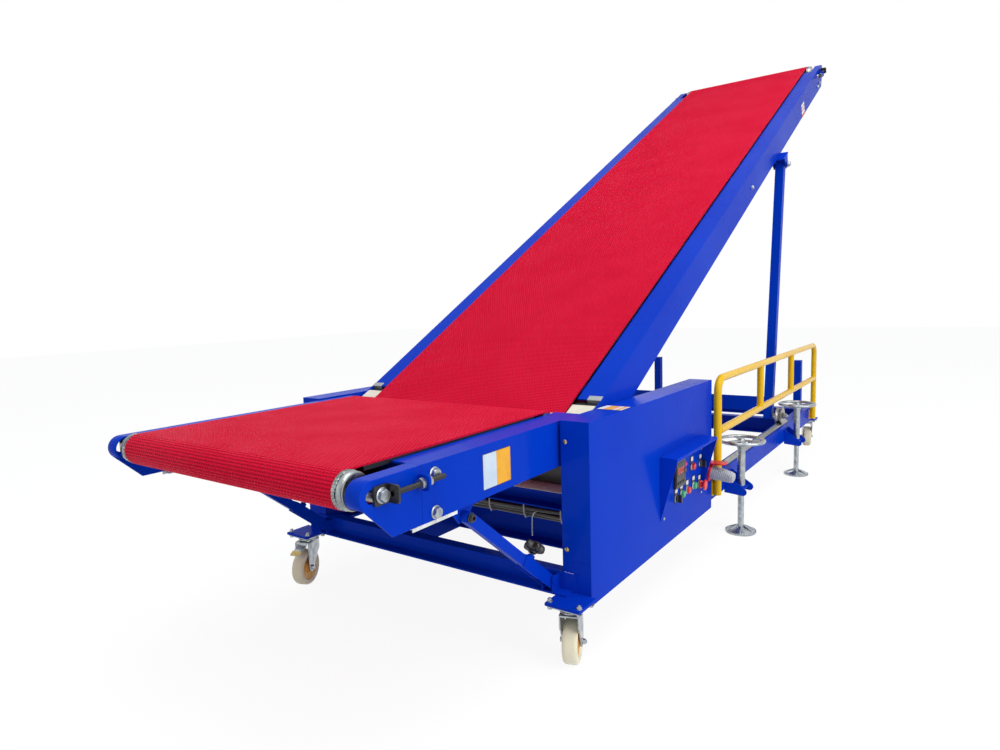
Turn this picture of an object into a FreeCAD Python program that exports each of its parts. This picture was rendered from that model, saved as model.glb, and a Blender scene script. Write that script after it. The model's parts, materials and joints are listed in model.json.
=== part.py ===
import FreeCAD, Part
import math
import os

# Mobile belt conveyor: a level infeed deck and a raised boom on a castor chassis.
# +X runs from infeed to discharge, +Z up, the control side is at -Y, millimetres.
# Sizes below are in the machine's own frame, with x = 0 at the front castor axis;
# everything is moved by -origin_x at export, so the origin is at the box's bottom centre.

# ---- driving sizes: belts and their frames
belt_width = 900.0
belt_thick = 5.0
belt_side_gap = 3.0           # belt edge to the frame's flange
drum_radius = 42.0
drum_end = 35.0               # end drum, outside the belt's edge
drum_shaft = 15.0
frame_depth = 142.0
frame_wall = 5.0
frame_flange = 93.0
frame_lip = 42.0
flange_rise = 36.0            # drum axis to the top of the frame
bed_thick = 3.0
bed_gap = 0.3
tie_height = 38.0
tie_width = 40.0
tie_inset = 70.0              # first and last tie, from the ends of the side frames
bed_inset = 60.0              # slider bed, from the drums' axes
idler_radius = 20.0
idler_shaft = 8.0

# ---- infeed deck
head_x = 90.0
deck_top = 745.0
deck_reach = 853.0            # drum to drum
deck_rear = 60.0              # frame behind the head drum's axis
nose_length = 142.0
nose_front = 51.0             # the rounded end, in front of the drum's axis
nose_rim = 45.0
nose_wall = 5.0
nose_corner = 43.0            # lower corner, behind the drum's axis
slot_front = 31.0
slot_rear = 39.0
slot_height = 31.0
pull_rod = 6.0
pull_rod_out = 20.0           # rod's axis, outside the frame's face

# ---- boom
boom_x = 210.0
boom_z = 683.0
boom_angle = 28.8
boom_reach = 4390.0           # drum to drum
boom_start = 115.0            # where the flanges begin
hinge_shaft = 20.0
hinge_lobe = 40.0
hinge_plate_low = 60.0        # where the hinge plate meets the frame's lower edge
boom_tie_count = 5

# ---- chassis
rail_width = 60.0
rail_height = 100.0
rail_wall = 6.0
rail_top = 310.0
chassis_rear = 3520.0
front_beam_height = 60.0
front_beam_flange = 45.0
front_beam_shelf = 40.0
member_width = 60.0
member_at = (300.0, 1290.0, 2760.0)
rear_member_height = 60.0
inner_beam_y = 120.0
inner_beam_size = 40.0
upper_beam_x = 200.0
upper_beam_z = 400.0
upper_beam_size = 60.0
castor_x = (-54.0, 3460.0)
castor_inset = 40.0           # castor axis, inside the rail's outer face
castor_pad = (108.0, 120.0, 10.0)

# ---- castors
wheel_radius = 70.0
wheel_width = 48.0
castor_trail = 26.0
castor_height = 200.0
castor_yaw = {"front_near": 20.0, "front_far": 200.0, "rear_near": 18.0, "rear_far": 4.0}
axle_radius = 6.0
fork_thick = 5.0
fork_gap = 2.0
castor_top = (98.0, 110.0, 6.0)
race_radius = 36.0
race_depth = 18.0

# ---- side covers and controls
cover_length = 1142.0
cover_depth = 99.0
cover_sheet = 3.0
cover_bottom = 178.0
cover_top = 750.0
bearing_plate = 12.0
bearing_radius = 36.0
hood_start = 550.0
hood_end = 1010.0
hood_top = 531.0
hood_bottom = 282.0
hood_depth = 66.0
display_size = (108.0, 104.0, 12.0)
button_radius = 14.0
button_out = 16.0
socket_x = 1106.0
socket_z = 352.0

# ---- boom lift: struts, track rollers, rest posts
strut_pin_u = 2842.0
strut_pin_w = -163.0
strut_size = 50.0
strut_wall = 4.0
strut_inset = 37.0            # strut's middle, inside the rail's inner face
strut_pin = 12.0
strut_foot_x = 2558.5
track_leg = 25.0
track_thick = 4.0
track_start = 1430.0
track_end = 2700.0
roller_axle_z = 368.0
roller_radius = 52.0
roller_width = 36.0
roller_axle = 12.0
strut_channel_height = 90.0
strut_channel_width = 80.0
strut_channel_wall = 5.0
strut_plate = 60.0            # half length of the clevis plate under the boom
strut_cheek = 6.0
strut_cheek_out = 38.0
rest_x = 3490.0
rest_top = 625.0
rest_inset = 14.0
rest_size = 50.0

# ---- screw jacks
jack_x = (1400.0, 2600.0)
jack_reach = 60.0             # jack's axis, outside the rail
sleeve_radius = 18.0
leg_radius = 14.0
leg_top = 320.0
sleeve_bottom = 215.0
sleeve_top = 425.0
cheek_thick = 5.0
cheek_tip = 32.0
handwheel_radius = 107.5
handwheel_rim = 16.0
handwheel_rise = 14.0
spoke_width = 14.0
foot_radius = 70.0
foot_thick = 10.0

# ---- handrails
rail_tube = 16.85
handrail_clamp = 7.0
handrail_x = (1162.0, 3305.0)
handrail_top = 752.0
handrail_mid = 520.0
handrail_foot = 235.0
handrail_bend = 60.0

# ---- deck props
prop_inset = 22.0             # prop's middle, inside the frame's face
prop_top = (-430.0, 563.0)
prop_foot = (-32.0, 242.0)
prop_sleeve = 190.0
prop_width = 40.0
prop_depth = 27.0
prop_bar = 32.0
prop_bar_thick = 20.0
prop_bar_end = 72.0           # from the foot pin, at rest
prop_pin = 8.0
prop_lug = 60.0               # half length of the lug under the deck
prop_ear = 5.0
prop_ear_gap = 2.5
prop_slack = 1.0
knob_at = 150.0
knob_radius = 18.0

# ---- worked out from the sizes above
belt_radius = drum_radius + belt_thick
drum_length = belt_width + 2 * belt_side_gap - 2
end_drum_length = belt_width + 2 * drum_end
frame_half = belt_width / 2 + belt_side_gap + frame_flange
boom_half = frame_half + 4
head_nose = nose_length
cover_inner = frame_half + 10
cover_outer = cover_inner + cover_depth
rail_outer = cover_outer - cover_sheet
rail_inner = rail_outer - rail_width
rail_middle = (rail_outer + rail_inner) / 2
bearing_inner = rail_inner + 8
bearing_outer = bearing_inner + bearing_plate
shaft_end = bearing_outer + bearing_plate
castor_y = rail_outer - castor_inset
jack_y = rail_outer + jack_reach
handrail_y = rail_outer + handrail_clamp + rail_tube - 0.35
strut_y = rail_inner - strut_inset
prop_y = frame_half - prop_inset
rest_y = boom_half - rest_inset
deck_z = deck_top - flange_rise
tail_x = head_x - deck_reach
slope = math.radians(boom_angle)
nose_radius = flange_rise
infeed_x = tail_x - nose_front
nose_reach = boom_reach + nose_front - nose_radius
discharge_x = boom_x + nose_reach * math.cos(slope) + nose_radius
origin_x = 0.5 * (infeed_x + discharge_x)
rail_bottom = rail_top - rail_height
fit = 0.05
gap = 0.3

V = FreeCAD.Vector
AXIS_Y = V(0, 1, 0)
SIDES = {"near": -1, "far": 1}


# ---- shape helpers
def box(x0, x1, y0, y1, z0, z1):
    y0, y1 = sorted((y0, y1))
    return Part.makeBox(x1 - x0, y1 - y0, z1 - z0, V(x0, y0, z0))


def rod(radius, start, end):
    start = V(*start)
    way = V(*end) - start
    return Part.makeCylinder(radius, way.Length, start, way)


def prism(points, y0, y1):
    """A flat outline of (x, z) points, extruded from y0 to y1."""
    corners = [V(x, y0, z) for x, z in points]
    face = Part.Face(Part.makePolygon(corners + corners[:1]))
    return face.extrude(V(0, y1 - y0, 0))


def fuse(shapes):
    shapes = list(shapes)
    return shapes[0].multiFuse(shapes[1:]).removeSplitter() if len(shapes) > 1 else shapes[0]


def mirrored(shape):
    return shape.mirror(V(0, 0, 0), AXIS_Y)


def both(shape):
    """The piece and its mirror image on the other side, as two solids."""
    return Part.makeCompound([shape, mirrored(shape)])


def on_boom(shape):
    """Turns a shape drawn along X from the hinge axis up to the boom's slope."""
    shape = shape.copy()
    shape.rotate(V(0, 0, 0), AXIS_Y, -boom_angle)
    shape.translate(V(boom_x, 0, boom_z))
    return shape


def channel(x0, x1, half, top, depth, wall, flange, lip):
    """A side frame at -Y: web outside, wide flange on top, narrow lip below."""
    web = box(x0, x1, -half, -half + wall, top - depth, top)
    upper = box(x0, x1, -half, -half + flange, top - wall, top)
    lower = box(x0, x1, -half, -half + lip, top - depth, top - depth + wall)
    return fuse([web, upper, lower])


def drum(x, z, radius, length, shaft, half):
    body = rod(radius, (x, -length / 2, z), (x, length / 2, z))
    return body.fuse(rod(shaft, (x, -half, z), (x, half, z)))


def belt_loop(x0, x1, z, width):
    """A closed band round two drums at x0 and x1."""
    def stadium(radius, half):
        mid = box(x0, x1, -half, half, z - radius, z + radius)
        ends = [rod(radius, (x, -half, z), (x, half, z)) for x in (x0, x1)]
        return fuse([mid] + ends)
    outer = stadium(belt_radius, width / 2)
    return outer.cut(stadium(drum_radius, width))


def nose_outline(axis_x, joint_x, z, top, depth, inset):
    """Side view of a nose: rounded in front, slanting down to its lower corner."""
    ahead = -1 if joint_x > axis_x else 1
    middle = axis_x + ahead * (nose_front - nose_radius)
    radius = nose_radius - inset
    slant = radius * math.sqrt(0.5)
    upper = V(middle, 0, z + radius)
    front = V(middle + ahead * radius, 0, z)
    lower = V(middle + ahead * slant, 0, z - slant)
    corner = V(axis_x - ahead * nose_corner, 0, top - depth)
    bottom = V(joint_x, 0, top - depth)
    end = V(joint_x, 0, z + radius)
    edges = [Part.Arc(upper, front, lower).toShape()]
    for start, stop in ((lower, corner), (corner, bottom), (bottom, end), (end, upper)):
        edges.append(Part.LineSegment(start, stop).toShape())
    return Part.Face(Part.Wire(edges))


def drum_nose(axis_x, joint_x, z, top, depth, half):
    """An open shell: the slotted side plate with a rim round its top and front."""
    ahead = -1 if joint_x > axis_x else 1
    outer = nose_outline(axis_x, joint_x, z, top, depth, 0)
    inner = nose_outline(axis_x, joint_x, z, top, depth, nose_wall)
    plate = outer.extrude(V(0, nose_wall, 0))
    rim = outer.extrude(V(0, nose_rim, 0)).cut(inner.extrude(V(0, nose_rim, 0)))
    low = z - nose_radius * math.sqrt(0.5)
    rim = rim.cut(box(*sorted((axis_x + ahead * nose_front, joint_x)), -1, nose_rim + 1,
                      top - depth - 1, low))
    body = plate.fuse(rim)
    body.translate(V(0, -half, 0))
    half_slot = slot_height / 2
    ends = sorted((axis_x + ahead * (slot_front - half_slot), axis_x - ahead * (slot_rear - half_slot)))
    cuts = [rod(half_slot, (x, -half - 1, z), (x, -half + nose_wall + 1, z)) for x in ends]
    cuts.append(box(*ends, -half - 1, -half + nose_wall + 1, z - half_slot, z + half_slot))
    return body.cut(fuse(cuts))


# ---- chassis
def chassis_rails():
    """Channels open to the inside, each closed in front by a plate down to its castor pad."""
    outer = box(0, chassis_rear, -rail_outer, -rail_inner, rail_bottom, rail_top)
    hollow = box(rail_wall, chassis_rear + 1, -rail_outer + rail_wall, -rail_inner + 1,
                 rail_bottom + rail_wall, rail_top - rail_wall)
    plate = box(0, rail_wall, -rail_outer, -rail_inner, rail_bottom - castor_pad[2], rail_top)
    return both(outer.cut(hollow).fuse(plate))


def open_channel(x0, x1, half, z0, z1, wall):
    """A cross member with its web at the rear and its flanges pointing to the front."""
    outer = box(x0, x1, -half, half, z0, z1)
    return outer.cut(box(x0 - 1, x1 - wall, -half - 1, half + 1, z0 + wall, z1 - wall))


def front_beam():
    """A Z section in front of the rails, with an ear each side of each prop's foot."""
    top = rail_bottom + front_beam_height
    half = rail_inner + 2 * rail_wall
    web = box(-rail_wall, 0, -half, half, rail_bottom, top)
    flange = box(-front_beam_flange, 0, -rail_inner, rail_inner, rail_bottom, rail_bottom + rail_wall)
    shelf = box(-rail_wall, front_beam_shelf, -cover_inner + 2, cover_inner - 2, top - rail_wall, top)
    ears = []
    x, z = prop_foot
    for side in (-1, 1):
        inner = prop_depth / 2 + prop_ear_gap
        for dy in (-inner - prop_ear, inner):
            y = side * prop_y + dy
            ear = box(x - 12, -rail_wall, y, y + prop_ear, rail_bottom + rail_wall, top - rail_wall)
            ears.append(ear.cut(rod(prop_pin + fit, (x, y - 1, z), (x, y + prop_ear + 1, z))))
    return fuse([web, flange, shelf] + ears)


def chassis_members():
    parts = [front_beam()]
    for x in member_at:
        parts.append(open_channel(x, x + member_width, rail_inner, rail_bottom, rail_top, rail_wall))
    parts.append(open_channel(rest_x - member_width / 2, rest_x + member_width / 2, rail_inner,
                              rail_bottom, rail_bottom + rear_member_height, rail_wall))
    parts.append(box(0, member_at[0], inner_beam_y - inner_beam_size / 2,
                     inner_beam_y + inner_beam_size / 2, rail_bottom,
                     rail_bottom + front_beam_height - rail_wall))
    parts.append(open_channel(upper_beam_x - upper_beam_size / 2, upper_beam_x + upper_beam_size / 2,
                              cover_inner, upper_beam_z, upper_beam_z + upper_beam_size, rail_wall))
    return Part.makeCompound(parts)


def at_castors(piece):
    """The same piece on all four swivel axes."""
    places = []
    for x in castor_x:
        for side in SIDES.values():
            copy = piece.copy()
            copy.translate(V(x, side * castor_y, 0))
            places.append(copy)
    return Part.makeCompound(places)


def castor_plates():
    length, width, thick = castor_pad
    return at_castors(box(-length / 2, length / 2, -width / 2, width / 2,
                          castor_height, castor_height + thick))


def castor_top_plates():
    """The castors' own top plates, bolted up against the pads."""
    length, width, thick = castor_top
    return at_castors(box(-length / 2, length / 2, -width / 2, width / 2,
                          castor_height - thick, castor_height))


def roller_tracks():
    """An angle bar laid with its ridge up on each rail."""
    y = -rail_middle
    reach = track_leg / math.sqrt(2)
    wall = track_thick * math.sqrt(2)
    ridge = [V(track_start, y - reach, rail_top), V(track_start, y, rail_top + reach),
             V(track_start, y + reach, rail_top), V(track_start, y + reach - wall, rail_top),
             V(track_start, y, rail_top + reach - wall), V(track_start, y - reach + wall, rail_top)]
    face = Part.Face(Part.makePolygon(ridge + ridge[:1]))
    return both(face.extrude(V(track_end - track_start, 0, 0)))


def rest_posts():
    half = rest_size / 2
    post = box(rest_x - half, rest_x + half, -rest_y - half, -rest_y + half,
               rail_bottom + rear_member_height, rest_top)
    return both(post)


def cover_shell():
    """A folded sheet box round the two drives, open below over the rail."""
    t = cover_sheet
    outer = box(0, cover_length, -cover_outer, -cover_inner, cover_bottom, cover_top)
    hollow = box(t, cover_length - t, -cover_outer + t, -cover_inner - t, cover_bottom - 1,
                 cover_top - t)
    shell = outer.cut(hollow)
    tunnel = box(-1, cover_length + 1, -rail_outer, -cover_inner + 1, cover_bottom - 1, rail_top)
    shell = shell.cut(tunnel)
    front = box(0, t, -rail_inner, -cover_inner, rail_bottom + front_beam_height, rail_top)
    shell = shell.fuse(front)
    y0, y1 = -cover_inner - 2 * t, -cover_inner + t
    for x, z, radius in ((head_x, deck_z, drum_shaft), (boom_x, boom_z, hinge_shaft)):
        shell = shell.cut(rod(radius + 6, (x, y0, z), (x, y1, z)))
    return shell


def bearing_frame():
    """The plate and bearing housings inside a side cover that carry the two shafts."""
    y0, y1 = -bearing_outer, -bearing_inner
    x0, x1 = head_x - 45, boom_x + 55
    plate = box(x0, x1, y0, y1, rail_top, cover_top - 12)
    foot = box(x0, x1, y0, y1 + 30, rail_top, rail_top + 10)
    shafts = ((head_x, deck_z, drum_shaft), (boom_x, boom_z, hinge_shaft))
    housings = [rod(bearing_radius, (x, -shaft_end, z), (x, y0, z)) for x, z, radius in shafts]
    body = fuse([plate, foot] + housings)
    for x, z, radius in shafts:
        body = body.cut(rod(radius + fit, (x, -shaft_end - 1, z), (x, y1 + 1, z)))
    return body


def control_hood():
    t = cover_sheet
    y = -cover_outer
    tip = y - hood_depth
    cheek_line = [V(0, y, hood_bottom), V(0, y, hood_top), V(0, tip, hood_top - 3),
                  V(0, tip, hood_top - 14)]
    face = Part.Face(Part.makePolygon(cheek_line + cheek_line[:1]))
    cheeks = []
    for x in (hood_start, hood_end - t):
        cheek = face.extrude(V(t, 0, 0))
        cheek.translate(V(x, 0, 0))
        cheeks.append(cheek)
    lip = [V(hood_start, y, hood_top), V(hood_start, tip, hood_top - 3),
           V(hood_start, tip, hood_top - 14), V(hood_start, tip + t, hood_top - 14),
           V(hood_start, tip + t, hood_top - 3 - t), V(hood_start, y, hood_top - t)]
    roof = Part.Face(Part.makePolygon(lip + lip[:1])).extrude(V(hood_end - hood_start, 0, 0))
    return fuse([roof] + cheeks)


def control_switches():
    """The display, the signal lamp, two rows of buttons and the stop button."""
    y = -cover_outer

    def at(along, down, radius, out, start=0.0):
        x, z = hood_start + along, hood_top - down
        return rod(radius, (x, y - out, z), (x, y - start, z))
    width, height, out = display_size
    left, top = hood_start + 133, hood_top - 53
    parts = [box(left, left + width, y - out, y, top - height, top)]
    parts.append(at(252, 80, 9, 10))
    for along, down in ((336, 108), (438, 118), (158, 197), (215, 193), (279, 193), (353, 192)):
        parts.append(at(along, down, button_radius, button_out))
    parts.append(at(425, 205, 11, 20).fuse(at(425, 205, 20, 32, 20)))
    return Part.makeCompound(parts)


def power_socket():
    """The inlet on the control cover's outer face, with the plug that stands in it."""
    x, y, z = socket_x, -cover_outer, socket_z
    flange = box(x - 30, x + 30, y - 10, y, z - 36, z + 36)
    barrel = rod(26, (x, y - 10, z), (x, y - 34, z - 4))
    collar = rod(31, (x, y - 34, z - 4), (x, y - 62, z - 9))
    plug = rod(25, (x, y - 62, z - 9), (x, y - 112, z - 18))
    lid = box(x - 29, x + 29, y - 62, y - 4, z + 36, z + 42)
    return fuse([flange, barrel, collar, plug, lid])


def handrail():
    """A bent hoop with a middle rail and two short uprights, clamped at its feet."""
    y = -handrail_y
    x0, x1 = handrail_x
    r = rail_tube
    b = handrail_bend
    top = handrail_top
    short = b * (1 - math.sqrt(0.5))
    corners = [V(x0, y, handrail_foot), V(x0, y, top - b), V(x0 + short, y, top - short),
               V(x0 + b, y, top), V(x1 - b, y, top), V(x1 - short, y, top - short),
               V(x1, y, top - b), V(x1, y, handrail_foot)]
    section = Part.Wire([Part.Circle(corners[0], V(0, 0, 1), r).toShape()])
    hoop = Part.makePolygon(corners).makePipeShell([section], True, True, 1)
    shapes = [hoop, rod(r, (x0, y, handrail_mid), (x1, y, handrail_mid))]
    for share in (1 / 3, 2 / 3):
        x = x0 + share * (x1 - x0)
        shapes.append(rod(r, (x, y, handrail_mid), (x, y, top)))
    for x in handrail_x:
        shapes.append(box(x - r, x + 45, -rail_outer - handrail_clamp, -rail_outer,
                          handrail_foot - 8, handrail_foot + 62))
    return fuse(shapes)


# ---- screw jacks
def jack_bracket(x):
    """Two tapered cheeks welded to the rail, one each side of the sleeve, and a tip plate."""
    y = -jack_y
    high, low = rail_top - 20, rail_bottom + 5
    tip = y - sleeve_radius - 4
    outline = [(-rail_outer, high), (-rail_outer, low), (y + 8, low), (tip, low + 12),
               (tip, low + 12 + cheek_tip)]
    cheeks = []
    for dx in (-sleeve_radius - cheek_thick, sleeve_radius):
        corners = [V(x + dx, py, pz) for py, pz in outline]
        face = Part.Face(Part.makePolygon(corners + corners[:1]))
        cheeks.append(face.extrude(V(cheek_thick, 0, 0)))
    cheeks.append(box(x - sleeve_radius, x + sleeve_radius, y + sleeve_radius,
                      y + sleeve_radius + cheek_thick, low + 12, high - 20))
    return fuse(cheeks)


def handwheel(x):
    """The fixed sleeve with the handwheel on its top: hub, three spokes and rim."""
    z = sleeve_top + handwheel_rise - handwheel_rim / 2
    y = -jack_y
    inner = handwheel_radius - handwheel_rim
    sleeve = rod(sleeve_radius, (x, y, sleeve_bottom), (x, y, sleeve_top))
    sleeve = sleeve.cut(rod(leg_radius + gap, (x, y, sleeve_bottom - 1), (x, y, sleeve_top - 6)))
    rim = rod(handwheel_radius, (x, y, z), (x, y, z + handwheel_rim))
    rim = rim.cut(rod(inner, (x, y, z - 1), (x, y, z + handwheel_rim + 1)))
    shapes = [sleeve, rim]
    for turn in (30, 150, 270):
        spoke = box(x, x + inner + 2, y - spoke_width / 2, y + spoke_width / 2,
                    sleeve_top - 1, z + handwheel_rim - 3)
        spoke.rotate(V(x, y, z), V(0, 0, 1), turn)
        shapes.append(spoke)
    return fuse(shapes)


def jack_leg(x):
    y = -jack_y
    tube = rod(leg_radius, (x, y, foot_thick), (x, y, leg_top))
    return tube.fuse(rod(foot_radius, (x, y, 0), (x, y, foot_thick)))


# ---- castors, drawn with the swivel axis at the origin and the trail towards +X
def castor_fork():
    """A pressed fork: crown under the swivel race, two tapering legs and the axle."""
    top = castor_height - castor_top[2] - gap
    crown_top = top - race_depth
    crown_low = crown_top - fork_thick
    inner = wheel_width / 2 + fork_gap
    outer = inner + fork_thick
    race = rod(race_radius, (0, 0, crown_top), (0, 0, top))
    crown = box(-34, 42, -outer, outer, crown_low, crown_top)
    shapes = [race, crown]
    x, z = castor_trail, wheel_radius
    for y0, y1 in ((-outer, -inner), (inner, outer)):
        points = [(-34, crown_low + 2), (42, crown_low + 2), (x + 20, z + 8), (x + 13, z - 15),
                  (x - 13, z - 15), (x - 20, z + 8), (-34, z + 50)]
        shapes.append(prism(points, y0, y1))
    shapes.append(rod(axle_radius, (x, -inner, z), (x, inner, z)))
    return fuse(shapes)


def castor_wheel():
    half = wheel_width / 2
    x, z = castor_trail, wheel_radius
    wheel = rod(wheel_radius, (x, -half, z), (x, half, z))
    return wheel.cut(rod(axle_radius + fit, (x, -half - 1, z), (x, half + 1, z)))


def at_castor(shape, name):
    end, side = name.split("_")
    shape = shape.copy()
    shape.rotate(V(0, 0, 0), V(0, 0, 1), castor_yaw[name])
    shape.translate(V(castor_x[0 if end == "front" else 1], SIDES[side] * castor_y, 0))
    return shape


# ---- infeed deck
def side_frames(x0, x1, half, top):
    side = channel(x0, x1, half, top, frame_depth, frame_wall, frame_flange, frame_lip)
    return [side, mirrored(side)]


def tie(x, half, top):
    return box(x - tie_width / 2, x + tie_width / 2, -half + frame_wall, half - frame_wall,
               top - tie_height, top)


def slider_bed(x0, x1, axis_z):
    top = axis_z + drum_radius - bed_gap
    seat = axis_z + flange_rise - frame_wall - 3
    half = belt_width / 2 - 5
    plate = box(x0, x1, -half, half, top - bed_thick, top)
    folds = [box(x0, x1, side * half, side * (half - bed_thick), seat, top) for side in (-1, 1)]
    return fuse([plate] + folds)


def idler(x, axis_z, half):
    """A return roller on a square shaft held between the webs."""
    z = axis_z - belt_radius - gap - idler_radius
    reach = half - frame_wall
    roller = rod(idler_radius, (x, -belt_width / 2, z), (x, belt_width / 2, z))
    return roller.fuse(box(x - idler_shaft, x + idler_shaft, -reach, reach, z - idler_shaft,
                           z + idler_shaft))


def infeed_frames():
    joint = tail_x + nose_length
    frames = side_frames(joint, head_x + deck_rear, frame_half, deck_top)
    x, z = prop_top
    low = deck_top - frame_depth
    inner = prop_y - prop_bar_thick / 2 - prop_ear_gap
    sides = []
    for side, frame in zip((-1, 1), frames):
        y0 = side * inner
        y1 = y0 - side * frame_wall
        plate = prism([(x - prop_lug, low), (x + prop_lug, low), (x + 2 * prop_pin, z - 2 * prop_pin),
                       (x - 2 * prop_pin, z - 2 * prop_pin)], y0, y1)
        plate = plate.cut(rod(prop_pin, (x, y0 + side, z), (x, y1 - side, z)))
        foot = box(x - prop_lug, x + prop_lug, y1, side * (frame_half - frame_wall), low - frame_wall, low)
        y = side * frame_half
        bore = rod(drum_shaft, (head_x, y - 10, deck_z), (head_x, y + 10, deck_z))
        sides.append(fuse([frame, plate, foot]).cut(bore))
    return Part.makeCompound(sides)


def infeed_ties():
    seat = deck_z + flange_rise - frame_wall - 3
    places = (tail_x + nose_length + tie_inset, head_x - 2 * tie_inset)
    return Part.makeCompound([tie(x, frame_half, seat) for x in places])


def infeed_noses():
    return both(drum_nose(tail_x, tail_x + nose_length, deck_z, deck_top, frame_depth, frame_half))


def tensioner(axis_x, joint_x, z, half):
    """An angle on the shaft's end, its pull rod, and the lug on the nose that takes the pull."""
    sign = 1 if joint_x > axis_x else -1
    y = -half
    rod_y = y - pull_rod_out
    out = rod_y - 16
    angle = box(*sorted((axis_x - sign * 27, axis_x + sign * 16)), y - 6, y - gap, z - 20, z + 20)
    turn = box(*sorted((axis_x + sign * 10, axis_x + sign * 16)), out, y - gap, z - 20, z + 20)
    lug_x = joint_x - sign * 10
    lug = box(lug_x - 4, lug_x + 4, out, y, z - 16, z + 16)
    pull = rod(pull_rod, (axis_x + sign * 12, rod_y, z), (joint_x + sign * 62, rod_y, z))
    return fuse([angle, turn, lug, pull])


# ---- boom, drawn along X from the hinge axis and turned up afterwards
def boom_frames():
    top = flange_rise
    low = top - frame_depth
    joint = boom_reach - head_nose
    side = channel(boom_start, joint, boom_half, top, frame_depth, frame_wall, frame_flange, frame_lip)
    y0, y1 = -boom_half, -boom_half + frame_wall
    plate = prism([(0, -hinge_lobe), (hinge_plate_low, low), (boom_start + 10, low), (boom_start + 10, top),
                   (0, hinge_lobe)], y0, y1)
    lobe = rod(hinge_lobe, (0, y0, 0), (0, y1, 0))
    side = fuse([side, plate, lobe]).cut(rod(hinge_shaft, (0, y0 - 1, 0), (0, y1 + 1, 0)))
    return both(side)


def boom_ties():
    joint = boom_reach - head_nose
    first, last = boom_start + tie_inset, joint - tie_inset
    seat = flange_rise - frame_wall - 3
    places = [first + n * (last - first) / (boom_tie_count - 1) for n in range(boom_tie_count)]
    return Part.makeCompound([tie(u, boom_half, seat) for u in places])


def strut_brackets():
    """The clevises under the boom's frames, with their pins."""
    low = flange_rise - frame_depth
    u, w = strut_pin_u, strut_pin_w
    y = -strut_y
    half = strut_plate
    out = strut_cheek_out
    shapes = [box(u - half, u + half, y - out, y + out, low - 8, low)]
    for dy in (-out, out - strut_cheek):
        outline = [(u - 0.75 * half, low - 4), (u + 0.75 * half, low - 4), (u + 20, w - 20),
                   (u - 20, w - 20)]
        shapes.append(prism(outline, y + dy, y + dy + strut_cheek))
    shapes.append(rod(strut_pin, (u, y - out - strut_cheek, w), (u, y + out + strut_cheek, w)))
    return both(fuse(shapes))


def boom_noses():
    joint = boom_reach - head_nose
    return both(drum_nose(boom_reach, joint, 0, flange_rise, frame_depth, boom_half))


# ---- lift struts
def at_strut(shape):
    """Turns a shape drawn up from the foot axle to the struts' lean."""
    pin = on_boom(Part.Vertex(V(strut_pin_u, 0, strut_pin_w))).Point
    foot = V(strut_foot_x, 0, roller_axle_z)
    way = pin - foot
    shape = shape.copy()
    shape.rotate(V(0, 0, 0), AXIS_Y, math.degrees(math.atan2(way.x, way.z)))
    shape.translate(foot)
    return shape


def strut_length():
    pin = on_boom(Part.Vertex(V(strut_pin_u, 0, strut_pin_w))).Point
    return (pin - V(strut_foot_x, 0, roller_axle_z)).Length


def strut_legs():
    """Two box tubes, each bored for its pin at the top."""
    half = strut_size / 2
    y = -strut_y
    length = strut_length()
    leg = box(-half, half, y - half, y + half, -half, length + half)
    inner = half - strut_wall
    leg = leg.cut(box(-inner, inner, y - inner, y + inner, half, length - half))
    leg = leg.cut(rod(strut_pin + fit, (0, y - half - 1, length), (0, y + half + 1, length)))
    return both(at_strut(leg))


def strut_beam():
    """The trough that ties the two feet together."""
    reach = strut_y - strut_size / 2
    w = strut_channel_width
    h = strut_channel_height
    t = strut_channel_wall
    beam = box(-w / 2, w / 2, -reach, reach, 20, 20 + h)
    return at_strut(beam.cut(box(-w / 2 + t, w / 2 - t, -reach - 1, reach + 1, 20 + t, 21 + h)))


def roller_axles():
    y = -(strut_y + strut_size / 2 + gap)
    out = -rail_middle - roller_width / 2 - 2
    x, z = strut_foot_x, roller_axle_z
    stub = rod(roller_axle, (x, y, z), (x, out - 6, z))
    return both(stub.fuse(rod(1.5 * roller_axle, (x, out, z), (x, out - 6, z))))


def track_roller():
    y = -rail_middle
    half = roller_width / 2
    ridge = rail_top + track_leg / math.sqrt(2)
    root = roller_axle_z - ridge - gap * math.sqrt(2)
    depth = roller_radius - root
    outline = [V(0, y - half, 0), V(0, y - half, roller_radius), V(0, y - depth, roller_radius),
               V(0, y, root), V(0, y + depth, roller_radius), V(0, y + half, roller_radius),
               V(0, y + half, 0)]
    body = Part.Face(Part.makePolygon(outline + outline[:1])).revolve(V(0, 0, 0), AXIS_Y, 360)
    body = body.cut(rod(roller_axle + fit, (0, y - half - 1, 0), (0, y + half + 1, 0)))
    body.translate(V(strut_foot_x, 0, roller_axle_z))
    return body


# ---- deck props, drawn along X from the foot pin and turned into place
def at_prop(shape):
    way = V(prop_top[0] - prop_foot[0], 0, prop_top[1] - prop_foot[1])
    shape = shape.copy()
    shape.rotate(V(0, 0, 0), AXIS_Y, -math.degrees(math.atan2(way.z, way.x)))
    shape.translate(V(prop_foot[0], 0, prop_foot[1]))
    return shape


def prop_length():
    return math.hypot(prop_top[0] - prop_foot[0], prop_top[1] - prop_foot[1])


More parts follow.
